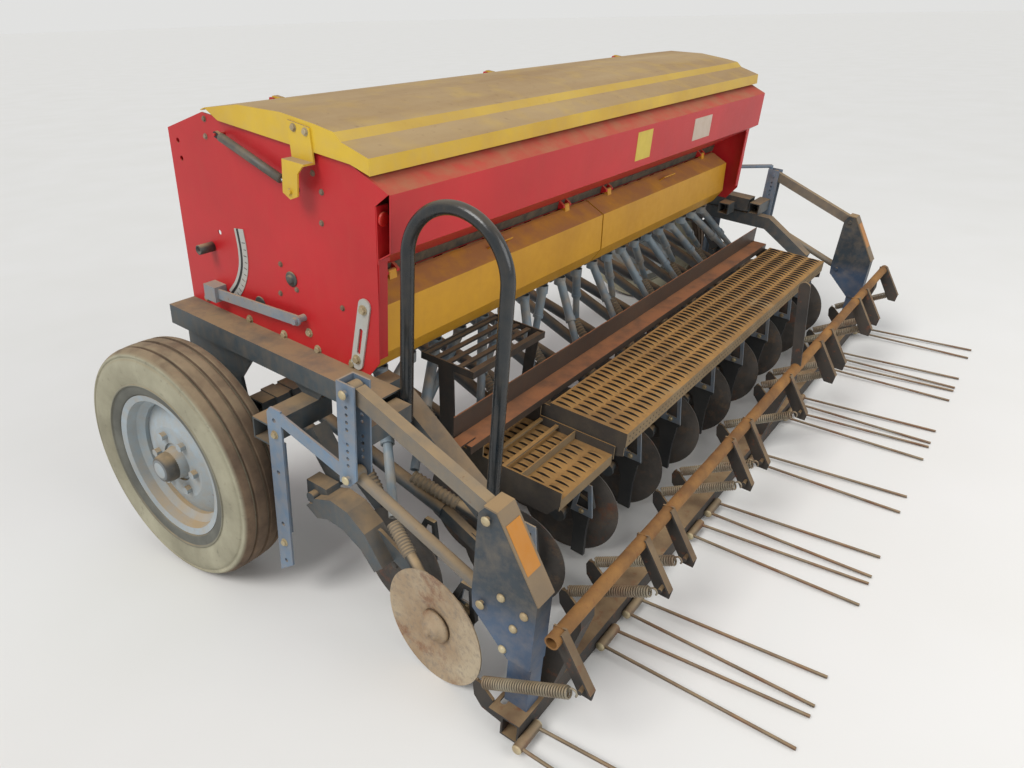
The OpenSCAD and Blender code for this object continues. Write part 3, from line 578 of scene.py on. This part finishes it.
def dark_plastic(name, deep, pale):
    """Black moulded plastic or rubber, greyed by dust that clings in clouds."""
    c = Coat(name)
    base = c.blend(c.patches(7, 6, 0.35, 0.68), deep, pale)
    tops = c.times(c.upward(0.2, 0.9), c.patches(16, 6, 0.3, 0.6, least=0.4, most=0.95))
    base = c.blend(tops, base, DUST)
    c.relief(c.cloud(280, 3), 0.0002)
    return c.done(base, 0.6)


def both_ends(stem):
    """The names of a node that is on the drill's left and on its right."""
    return [stem + "_left", stem + "_right"]


def coat_nodes():
    """Puts each finish on the frame's own nodes, and returns all finishes by name.

    A finish named like one of the frame's plain colours gets a number from Blender, which is left off."""
    finishes = [
        (painted_steel("frame_paint", tone(66, 80, 88), tone(48, 60, 67),
                       dust=0.9, dust_tone=tone(152, 126, 92), film=0.22),
         ["main_frame", "headstock", "coulter_rail", "coulter_arms",
          *both_ends("axle"), *both_ends("step_carrier")]),
        (painted_steel("handrail_paint", tone(26, 35, 41), tone(19, 26, 31),
                       dust=0.12, rust=0.15, gloss=0.16, film=0.04, streak=0.04),
         ["handrail"]),
        (painted_steel("hopper_red", tone(196, 26, 36), tone(176, 22, 30),
                       dust=0.85, dust_tone=tone(162, 104, 74), rust=0.12, film=0.08, streak=0.04),
         ["hopper_shell", *both_ends("side_plate")]),
        (lid_paint(), ["lid", *both_ends("lid_bracket")]),
        (painted_steel("cover_yellow", tone(208, 154, 34), tone(188, 136, 30),
                       dust=1.0, dust_tone=tone(160, 112, 66), rust=0.1, film=0.16),
         both_ends("cover")),
        (painted_steel("plate_blue", tone(104, 130, 154), tone(84, 106, 128),
                       dust=0.6, rust=0.8, gloss=0.45, film=0.3),
         [*both_ends("peg_bracket"), *both_ends("rear_bar")]),
        (painted_steel("lever_grey_steel", tone(136, 148, 160), tone(104, 114, 124),
                       dust=0.7, rust=0.6, gloss=0.4, film=0.4),
         ["setting_lever"]),
        (painted_steel("scale_grey", tone(188, 190, 186), tone(164, 166, 162),
                       dust=0.4, rust=0.5, gloss=0.35, film=0.25),
         both_ends("adjuster")),
        (carriage_paint(), ["harrow_carriages"]),
        (painted_steel("wheel_paint", tone(158, 174, 184), tone(132, 144, 150),
                       dust=0.9, rust=0.5, gloss=0.4, film=0.42),
         both_ends("wheel")),
        (tyre_rubber(), both_ends("tyre")),
        (painted_steel("black_steel", tone(38, 40, 42), tone(30, 31, 33),
                       dust=0.55, dust_tone=tone(120, 98, 72), rust=0.5, film=0.2),
         ["agitator_shaft", "upper_rack"]),
        (dark_plastic("housing_plastic", tone(44, 46, 48), tone(64, 64, 62)),
         ["metering_row", "coulter_boots"]),
        (tube_plastic(), ["seed_tubes"]),
        (disc_steel(), ["coulter_discs"]),
        (tread_sheet(), ["tread_board", "lower_step"]),
        (painted_steel("kick_brown", tone(68, 60, 53), tone(50, 46, 43),
                       dust=1.0, dust_tone=tone(150, 98, 62), rust=0.3, film=0.08, streak=0.05),
         ["kick_plate"]),
        (harrow_steel(), ["harrow_beam", "harrow_tube"]),
        (painted_steel("link_dusty", tone(112, 108, 100), tone(88, 84, 78),
                       dust=0.85, dust_tone=tone(156, 132, 98), rust=0.6, film=0.35),
         ["harrow_upper_links", "harrow_lower_links"]),
        (bare_steel("tine_steel", tone(112, 100, 82), tone(84, 70, 54), 0.55, metal=0.3),
         ["harrow_tines", "harrow_springs"]),
        (dark_plastic("strut_black", tone(34, 35, 37), tone(48, 48, 48)), both_ends("strut_barrel")),
        (bare_steel("rod_chrome", tone(190, 190, 188), tone(160, 160, 158), 0.1,
                    gloss=0.2, metal=0.95, dust=0.2),
         both_ends("strut_rod")),
    ]
    left = set(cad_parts)
    for finish, names in finishes:
        for name in names:
            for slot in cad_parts[name].material_slots:
                slot.material = finish
            left.remove(name)
    assert not left, left
    return {f.name.split(".")[0]: f for f in [f for f, _ in finishes] + small_piece_finishes()}


def small_piece_finishes():
    """The finishes that only the pieces made here wear."""
    return [
        painted_steel("hub_dark", tone(58, 64, 66), tone(44, 48, 50), dust=0.7, rust=0.5),
        painted_steel("hub_end", tone(108, 118, 124), tone(90, 98, 104), dust=0.4, rust=0.2, streak=0.05),
        painted_steel("strip_dusty", tone(122, 104, 80), tone(96, 82, 66),
                      dust=0.9, dust_tone=tone(158, 130, 92), rust=0.4),
        painted_steel("label_ochre", tone(184, 116, 14), tone(166, 102, 12), dust=0.35, rust=0.1, gloss=0.35),
        bare_steel("spring_steel", tone(150, 142, 124), tone(108, 96, 78), 0.35, metal=0.35),
        bare_steel("bolt_dull", tone(150, 134, 118), tone(110, 96, 82), 0.45, metal=0.3, dust=0.4),
        bare_steel("bolt_zinc", tone(196, 184, 150), tone(160, 146, 112), 0.35, metal=0.4, dust=0.4),
        painted_steel("strut_dark", tone(66, 70, 70), tone(52, 55, 55),
                      dust=0.2, rust=0.1, gloss=0.4, film=0.2),
        painted_steel("sleeve_dusty", tone(112, 106, 96), tone(84, 76, 66),
                      dust=0.5, rust=0.0, gloss=0.6, film=0.45),
        # Painted shade: the dark strip under the hopper's rear slope, above the covers.
        painted_steel("shade_strip_dark", tone(40, 42, 42), tone(30, 31, 31),
                      dust=0.4, rust=0.0, gloss=0.6, film=0.25),
        dark_plastic("seal_black", tone(26, 26, 27), tone(40, 38, 36)),
        # Painted shadow: near black for the louvre mouths and drain holes, made with the dark plastic layers.
        dark_plastic("step_shadow", tone(12, 9, 7), tone(18, 14, 10)),
        painted_steel("scraper_blue", tone(120, 140, 158), tone(98, 114, 130), dust=0.7, rust=0.5, film=0.35),
        painted_steel("label_yellow", tone(214, 190, 60), tone(196, 170, 50),
                      dust=0.3, rust=0.0, gloss=0.35, film=0.25),
        painted_steel("label_white", tone(206, 190, 176), tone(186, 168, 152),
                      dust=0.3, rust=0.0, gloss=0.35, film=0.25),
        painted_steel("reflector_red", tone(196, 14, 22), tone(176, 10, 18),
                      dust=0.2, rust=0.0, gloss=0.12, film=0.08),
    ]


# The drill's smaller pieces, in level millimetres

SIDES = (("left", -1.0, FACING_LEFT), ("right", 1.0, FACING_RIGHT))
WHEEL_X = 1467.0
BEAD_R = 208.6
TYRE_R = 360.0
SIDE_PLATE_X = 1246.0
ROWS = 20
ROW_PITCH = 150.0
REAR_DISC_Y = -930
FRONT_DISC_Y = -690
DISC_R = 160.2
LOUVRE_DEPTH = 24.0
LOUVRE_RISE = 9.5
TINE_UNITS_X = [-1490, -1110, -965, -540, -395, -5, 395, 540, 965, 1110, 1490]


def heads(coats, name, side, head, x, spots, finish, body="drill", smooth=False):
    """One head at several spots (y, z) of a face that looks sideways, x from the drill's middle."""
    end, sign, facing = side
    places = [[sign * x, y, z] for y, z in spots]
    solid("%s_%s" % (name, end), repeated(head, places, facing), coats[finish], body, smooth)


def tyre_piece(end, sign, coats):
    """The tyre as one closed ring: half its section, mirrored, smoothed and turned round the axle line."""
    half = [(BEAD_R, 30), (BEAD_R, 55), (221, 60), (224, 66.5), (231, 70), (243, 72.5), (252, 73.5),
            (254.5, 77.5), (258, 77.5), (260.5, 74.5), (274, 79), (292, 82), (308, 82.3), (320, 80.8),
            (330, 77), (334, 73.5), (338, 72.8), (341, 75), (346, 73.5), (351, 67), (355, 58), (357.5, 48),
            (356.8, 45), (349, 43.6), (348.6, 37), (357.6, 35), (359.4, 22), (360, 9), (359.4, 6), (351, 4.4)]
    section = np.array(half + [(r, -x) for r, x in reversed(half)])
    section = flowing(np.concatenate([section, section[:1]]), 3 * len(section) + 1)[:-1]
    steps = 168
    a = np.arange(steps) * 2 * np.pi / steps
    r = np.broadcast_to(np.minimum(section[:, 0], TYRE_R - 0.3), (steps, len(section)))
    x = np.broadcast_to(section[:, 1], r.shape)
    points = np.stack([sign * (WHEEL_X + x), r * np.cos(a)[:, None], AXLE_Z + r * np.sin(a)[:, None]], -1)
    tyre = mesh_piece("tyre_%s_rubber" % end, lean(points), [grid_faces(*r.shape, True, True)],
                      coats["tyre_rubber"], "wheel_%s_body" % end, closed=True)
    rise = tyre.data.attributes.new("rise", "FLOAT", "POINT")
    rise.data.foreach_set("value", ((r - BEAD_R) / (TYRE_R - BEAD_R)).ravel().astype(np.float32))
    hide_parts("tyre_%s" % end)


def hub_cap(side, coats):
    """The dark hub barrel with a rolled rim, and its dull end disc, both turned round the axle line."""
    body = "wheel_%s_body" % side[0]
    barrel = turned([(50.8, 8), (50.8, 29), (46, 32), (43.2, 60), (43.8, 64), (43.2, 68), (39.4, 84),
                     (36, 89), (30, 90.5)], 40)
    heads(coats, "hub_barrel", side, barrel, WHEEL_X, [(0, AXLE_Z)], "hub_dark", body, True)
    disc = turned([(33, 88), (32, 90.5), (28, 91.6), (6, 91.9)], 36)
    heads(coats, "hub_end", side, disc, WHEEL_X, [(0, AXLE_Z)], "hub_end", body, True)


def louvre_arch():
    """The line across a louvre, u from 0 to 1, and its arch sin(pi u)^0.7."""
    u = np.linspace(0, 1, 11)
    return u, np.sin(np.pi * u) ** 0.7


LIP = 1.2
BOW = 3.0


def louvre(width):
    """A pressed louvre: height = rise * arch * (1 - v^1.7), open at v = 0, with a curved sill before it."""
    u, arch = louvre_arch()
    v = np.linspace(0, 1, 5)
    z = LOUVRE_RISE * arch[None] * (1 - v[:, None] ** 1.7)
    x = LOUVRE_DEPTH * v[:, None] + BOW * (1 - arch)[None] * (1 - v[:, None])
    y = np.broadcast_to(width * (u - 0.5), x.shape)
    top = np.stack([x, y, z], -1)
    lip = top[:1] - np.array([0, 0, LIP]) * arch[None, :, None]
    sill = np.stack([x[0] - 0.6, y[0], 0.12 * LOUVRE_RISE * arch], -1)[None]
    foot = np.stack([x[0] - 3.2, y[0], np.full(len(u), -0.3)], -1)[None]
    under = np.stack([x[0] + 3.0, y[0], 0.10 * LOUVRE_RISE * arch], -1)[None]
    return np.concatenate([foot, sill, under, lip, top])


def louvre_mouth(width):
    """The dark opening of a louvre, as painted shadow: a crescent between its sill and its lip."""
    u, arch = louvre_arch()
    x = 0.3 + BOW * (1 - arch)
    y = width * (u - 0.5)
    high = np.stack([x, y, LOUVRE_RISE * arch - LIP * arch], -1)
    low = np.stack([x - 0.7, y, 0.12 * LOUVRE_RISE * arch + 0.1], -1)
    return np.stack([low, high])


def louvred(name, xs, ys, level, width, coats):
    """A field of louvres on a sheet, in rows across y, each with its dark mouth of painted shadow toward the
    left side.
    """
    gx, gy = np.meshgrid(xs, ys, indexing="ij")
    places = np.stack([gx.ravel(), gy.ravel(), np.full(gx.size, level)], -1)
    for part, grid, finish in ((name, louvre(width), "step_ochre"),
                               (name + "_mouths", louvre_mouth(width), "step_shadow")):
        shape = (grid.reshape(-1, 3), [grid_faces(*grid.shape[:2])])
        points, faces = repeated(shape, places, FACING_UP)
        mesh_piece(part, lean(points), [f[:, ::-1] for f in faces], coats[finish], "drill")


def step_details(coats):
    """Louvres on the tread board and the lower step; two rows of drain holes in the rear flange, as painted
    shadow.
    """
    louvred("tread_louvres", np.arange(-720, 1232, 30.0), [-820, -882, -944, -1006], 535.0, 58, coats)
    lower_rows = [-684, -737, -794, -853, -918, -980]
    louvred("lower_louvres", np.arange(-1028, -764, 30.0), lower_rows, 455.0, 50, coats)
    hole = turned([(3.6, 0), (3.0, 0.12)], 8)
    gx, gz = np.meshgrid(np.arange(-714, 1248, 22.0), [519, 502], indexing="ij")
    places = np.stack([gx.ravel(), np.full(gx.size, -1050.1), gz.ravel()], -1)
    solid("tread_drain_holes", repeated(hole, places, FACING_BACK), coats["step_shadow"])


def spring_wire(start, end, turns, coil_r, wire_r):
    """A tension spring: middle = line + coil_r (cos a, sin a), a = 2 pi turns t, and a hook of 250 degrees
    at each end."""
    start, end = np.asarray(start, float), np.asarray(end, float)
    reach = np.linalg.norm(end - start)
    w = (end - start) / reach
    u = np.array([1.0, 0, 0])
    v = np.cross(w, u)
    hook = 10.0
    per_turn = 14
    t = np.linspace(0, 1, turns * per_turn)
    a = 2 * np.pi * turns * t
    run = start + w * (2 * hook) + t[:, None] * (reach - 4 * hook) * w
    coil = run + coil_r * (np.cos(a)[:, None] * v + np.sin(a)[:, None] * u)
    b = np.radians(np.linspace(-250, 0, 16))[:, None]
    first = start + w * hook + hook * (np.cos(b) * w + np.sin(b) * v)
    last = end - w * hook - hook * (np.cos(b[::-1]) * w + np.sin(b[::-1]) * v)
    path = np.concatenate([first, coil, last])
    ahead = unit(np.gradient(path, axis=0))
    side = np.cross(ahead, w)
    weak = np.linalg.norm(side, axis=1, keepdims=True) < 0.2
    side = unit(np.where(weak, np.cross(ahead, u), side))
    return wire_rings(path, wire_r, side, np.cross(ahead, side), 6)


def harrow_details(coats):
    """Close-wound springs with their lugs and pins, the bosses' round ends, and each carriage's strip, label,
    bolts and pin heads."""
    body = "harrow_body"
    springs = [spring_wire([x, -1102, 240], [x, -1352, 392], 34, 12.6, 2.7) for x in TINE_UNITS_X]
    coils = solid("harrow_coils", joined(springs), coats["spring_steel"], body)
    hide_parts("harrow_springs")
    lug = [[-1186, 160], [-1186, 201.9], [-1149.9, 201.9], [-1149.9, 214], [-1110, 246], [-1096, 246],
           [-1090, 230], [-1096, 196], [-1120, 170]]
    lugs = [pressed(lug, x - 4, x + 4) for x in TINE_UNITS_X]
    pins = [rod([[x, -1358, 396], [x - math.copysign(22, x), -1358, 396]], 6, ref=(0, 0, 1))
            for x in TINE_UNITS_X]
    solid("spring_lugs", joined(lugs + pins), coats["harrow_brown"], body, smooth=False)
    tip = dome_head(13.0, 7.0)
    tips = [repeated(tip, [[x + sign * 42, -1249.1, 166] for x in TINE_UNITS_X], facing)
            for _, sign, facing in SIDES]
    solid("boss_ends", joined(tips), coats["bolt_zinc"], body)
    strip = [[-1074, 728.4], [-1106.5, 726.8], [-1227, 540], [-1230.4, 542.2], [-1108.6, 731], [-1074, 732.6]]
    label = [[-1128, 701.6], [-1192, 601.2], [-1192.7, 601.6], [-1128.7, 702.1]]
    for side in SIDES:
        end, sign, _ = side
        strip_plate = pressed(strip, sign * 1411, sign * 1473)
        label_plate = pressed(label, sign * 1418, sign * 1467)
        solid("carriage_strip_" + end, strip_plate, coats["strip_dusty"], body, smooth=False)
        solid("carriage_label_" + end, label_plate, coats["label_ochre"], body, smooth=False)
        heads(coats, "carriage_bolts", side, dome_head(11.0, 8.0), 1473,
              [(-1135, 513), (-1173, 445), (-1150, 367), (-1197, 497)], "bolt_zinc", body, True)
        heads(coats, "carriage_pin_heads", side, dome_head(12.0, 5.0), 1481,
              [(-1086, 702), (-1086, 467)], "bolt_zinc", body, True)


def plate_fasteners(coats):
    """Bolts, nuts and bosses on the hopper's side plates, frame rails, corner brackets and lid brackets."""
    bolts = [(-309, 792), (-60, 752), (-205, 752), (-340, 752), (-470, 756), (130, 762), (-252, 930)]
    rivets = [(48, 1290), (50, 1245), (-355, 1231), (-383, 1191), (-378, 1113), (-212, 961), (-203, 875),
              (-440, 905), (-270, 905)]
    bosses = (
        (turned([(21, 0), (21, 2.5), (17, 4), (12, 4), (12, 9), (9, 11)], 28), -252, 930),
        (turned([(21, 0), (20, 2.2), (17, 3.0), (4, 3.2)], 28), -114, 818),
        (turned([(14, 0), (14, 46), (12.5, 47), (9.5, 47), (8, 30)], 24), 77, 935),
    )
    for side in SIDES:
        end, sign, facing = side
        heads(coats, "side_bolts", side, hex_head(9.5, 8.0), SIDE_PLATE_X, bolts, "bolt_zinc")
        heads(coats, "side_rivets", side, hex_head(6.0, 4.5), SIDE_PLATE_X, rivets, "bolt_dull")
        placed = [repeated(boss, [[sign * SIDE_PLATE_X, y, z]], facing) for boss, y, z in bosses]
        solid("side_bosses_" + end, joined(placed), coats["hub_dark"])
        heads(coats, "adjuster_nuts", side, hex_head(10.0, 9.0), SIDE_PLATE_X + 5,
              [(-491, 778), (-517, 925)], "bolt_zinc")
        heads(coats, "corner_bolts", side, hex_head(9.0, 8.0), 1468, [(-414, 265), (-414, 618)], "bolt_zinc")
        heads(coats, "lid_bracket_bolts", side, hex_head(7.5, 6.0), 1260,
              [(-312, 1332), (-352, 1329)], "bolt_zinc", "lid_body")
        heads(coats, "link_pin_heads", side, dome_head(12.0, 6.0), 1480,
              [(-676, 842), (-676, 607)], "bolt_zinc", smooth=True)


def row_x(i):
    """Where a row's coulter arm is, counted from the left."""
    return (i - (ROWS - 1) / 2) * ROW_PITCH


def disc_side(i):
    """The side of its arm that a row's disc is on: rear discs right, front discs left, end discs outward."""
    if i in (0, ROWS - 1):
        return -1 if i == 0 else 1
    return 1 if i % 2 == 0 else -1


def disc_middle_z(y):
    """Height of a disc's middle at y: it stands on the ground, which slopes by the lean here."""
    ground = AXLE_Z - TYRE_R / math.cos(LEAN) - y * math.tan(LEAN)
    return ground + DISC_R / math.cos(LEAN)


def tube_top(i):
    """Where a row's seed tube comes down from: y, and the height over the disc's middle."""
    if i in (0, ROWS - 1):
        return (-728, 168) if i == 0 else (-600, 162)
    return (-630, 165) if i % 2 == 0 else (-450, 218)


def coulter_details(coats):
    """A domed hub with its nut on each disc, and a ribbed sleeve where the seed tube enters each boot."""
    cap = turned([(46, -1), (45, 5), (40, 10), (31, 13), (27, 20), (20, 25), (12, 27), (10, 27), (10, 33),
                  (8, 35)], 28)
    rings = 64
    ribs = 11
    ribbed = 17.4 + 1.7 * np.sin(np.linspace(0, 2 * np.pi * ribs, rings))
    caps, sleeves = [], []
    for i in range(ROWS):
        x, side = row_x(i), disc_side(i)
        y = REAR_DISC_Y if i % 2 == 0 else FRONT_DISC_Y
        z = disc_middle_z(y)
        turn = math.radians(6 * side)
        out = np.array([math.cos(turn), math.sin(turn), 0]) * side
        across = np.array([-out[1], out[0], 0])
        caps.append(repeated(cap, [np.array([x + side * 12, y, z]) + 4 * out], [[across, [0, 0, 1], out]]))
        top_y, top_rise = tube_top(i)
        top = np.array([x - side * 55, top_y, z + top_rise])
        foot = np.array([x - side * 16, y + 76, z + 100])
        t = np.linspace(-0.02, 0.62, rings)[:, None]
        sleeves.append(rod(top + t * (foot - top), ribbed, 14))
    solid("disc_hubs", joined(caps), coats["worn_disc"])
    solid("seed_sleeves", joined(sleeves), coats["sleeve_dusty"])


def windowed_plate(outer, inner, x0, x1):
    """A plate across x with one window: outer and inner outlines of as many points, joined ring to ring."""
    n = len(outer)
    loops = ((x0, outer), (x1, outer), (x1, inner), (x0, inner))
    rings = [np.column_stack([np.full(n, x), loop]) for x, loop in loops]
    return np.stack(rings, 1).reshape(-1, 3), [grid_faces(n, 4, True, True)]


def scraper_details(coats):
    """A light windowed scraper plate with its bolt behind each rear coulter, beside the boot's blade."""
    outer = np.array([[-30, 66], [-44, 176], [-88, 176], [-104, 66]])
    inner = np.array([[-46, 88], [-56, 152], [-78, 152], [-88, 88]])
    bolt = np.array([-66, 77])
    lowered_row = 4
    half = 2.5
    plates, bolts = [], []
    for i in range(0, ROWS, 2):
        x = row_x(i) - disc_side(i) * 27
        at = np.array([REAR_DISC_Y, disc_middle_z(REAR_DISC_Y) - (40 if i == lowered_row else 0)])
        plates.append(windowed_plate(outer + at, inner + at, x - half, x + half))
        bolts.append([x - half, *(at + bolt)])
    solid("scraper_plates", joined(plates), coats["scraper_blue"], smooth=False)
    solid("scraper_bolts", repeated(hex_head(7.0, 6.0), bolts, FACING_LEFT), coats["bolt_zinc"], smooth=False)


def curved_strip(points, width, lift, x0, x1):
    """A flat strip along a smooth line in y and z: edges half its width to each side, moved by lift."""
    line = flowing(points, 26)
    ahead = unit(np.gradient(line, axis=0))
    across = np.stack([-ahead[:, 1], ahead[:, 0]], -1)
    left, right = line + across * (width / 2 + lift), line - across * (width / 2 - lift)
    return pressed(np.concatenate([left, right[::-1]]), x0, x1)


def scale_details(coats):
    """The seed rate scale on each side plate: a pale curved strip, its dark slot, plain marks on one edge."""
    route = [[-50, 1018], [-58, 960], [-54, 905], [-30, 850], [6, 806]]
    line = flowing(route, 26)
    for end, sign, _ in SIDES:
        x0, x1, x2 = sign * SIDE_PLATE_X, sign * (SIDE_PLATE_X + 2.0), sign * (SIDE_PLATE_X + 2.5)
        solid("scale_strip_" + end, curved_strip(route, 38, 0, x0, x1), coats["scale_grey"], smooth=False)
        solid("scale_slot_" + end, curved_strip(route, 8, 6, x0, x2), coats["seal_black"], smooth=False)
        marks = []
        for k in range(4, 23, 2):
            ahead = unit(line[k + 1] - line[k - 1])
            across = np.array([-ahead[1], ahead[0]])
            a, b = line[k] - across * 16, line[k] - across * (7 if k % 4 else 3)
            marks.append(pressed([a - ahead, a + ahead, b + ahead, b - ahead], x0, x2))
        solid("scale_marks_" + end, joined(marks), coats["seal_black"], smooth=False)


def strut_sleeves(coats):
    """A long dark sleeve over each gas strut: a round bar along the line from its foot toward its pin."""
    foot, pin = np.array([-32.0, 1268.0]), np.array([-322.0, 1188.0])
    stations = np.array([15.0, 17.0, 140.0, 244.0, 246.0])
    line = foot + stations[:, None] * unit(pin - foot)
    for end, sign, _ in SIDES:
        path = np.column_stack([np.full(len(line), sign * (SIDE_PLATE_X + 24.5)), line])
        solid("strut_sleeve_" + end, rod(path, [7.0, 11.4, 11.4, 11.4, 7.0], 20), coats["strut_dark"],
              "strut_barrel_%s_body" % end)


def hopper_details(coats):
    """At the hopper's ends the lid's seals, the rear flange and its reflector; behind it a dark strip of
    painted shade over the covers, the two blank labels and the covers' seams."""
    seal = [[-24, 1301.5], [-120, 1298.5], [-260, 1292], [-400, 1286], [-490, 1282]]
    edge = [[-22, 1303], [-258, 1299], [-486, 1287], [-486, 1279], [-258, 1290], [-22, 1295]]
    flange = [[-566, 1056], [-561, 1056], [-556, 1196], [-561, 1196]]
    lens = turned([(18, 0), (18, 4), (16, 6), (9, 7), (3, 7.4)], 32)
    x = SIDE_PLATE_X
    for end, sign, _ in SIDES:
        line = [[sign * 1249.6, *at] for at in seal]
        solid("lid_seal_" + end, rod(flowing(line, 24), 4.2, 10), coats["seal_black"])
        solid("side_seal_" + end, pressed(edge, sign * (x + 0.2), sign * (x + 1.8)), coats["seal_black"],
              smooth=False)
        solid("plate_flange_" + end, pressed(flange, sign * (x - 40), sign * (x - 1)), coats["hopper_red"],
              smooth=False)
        solid("reflector_" + end, repeated(lens, [[sign * 1226, -564.5, 1164]], FACING_BACK),
              coats["reflector_red"])
    # A dark strip of painted shade on the shaded face under the hopper's rear slope, above the covers.
    shade_strip = [[-413.2, 967], [-406.2, 935], [-408.2, 934.6], [-415.2, 966.6]]
    solid("cover_shade_strip", pressed(shade_strip, -1240, 1240), coats["shade_strip_dark"], smooth=False)
    for tint, x0, x1, z0, z1 in (("yellow", -14, 100, 1116, 1214), ("white", 470, 640, 1120, 1204)):
        back = [[-602.7, z0], [-602.7, z1], [-603.1, z1], [-603.1, z0]]
        solid("blank_label_" + tint, pressed(back, x0, x1), coats["label_" + tint], smooth=False)
    cover = np.array([[-500, 900], [-508, 770], [-472, 712]])
    seam = np.concatenate([cover + [-1.6, -1.0], (cover + [0.4, 1.0])[::-1]])
    for name, seams in (("cover_left", (-1000, -616, -232)), ("cover_right", (241, 620, 1000))):
        strips = [pressed(seam, x - 1.3, x + 1.3) for x in seams]
        solid(name + "_seams", joined(strips), coats["seal_black"], name + "_body", smooth=False)


def make_pieces(coats):
    """All the pieces over the frame."""
    for side in SIDES:
        tyre_piece(side[0], side[1], coats)
        hub_cap(side, coats)
    step_details(coats)
    harrow_details(coats)
    plate_fasteners(coats)
    coulter_details(coats)
    scraper_details(coats)
    scale_details(coats)
    strut_sleeves(coats)
    hopper_details(coats)


set_camera()
set_studio()
coats = coat_nodes()
make_pieces(coats)
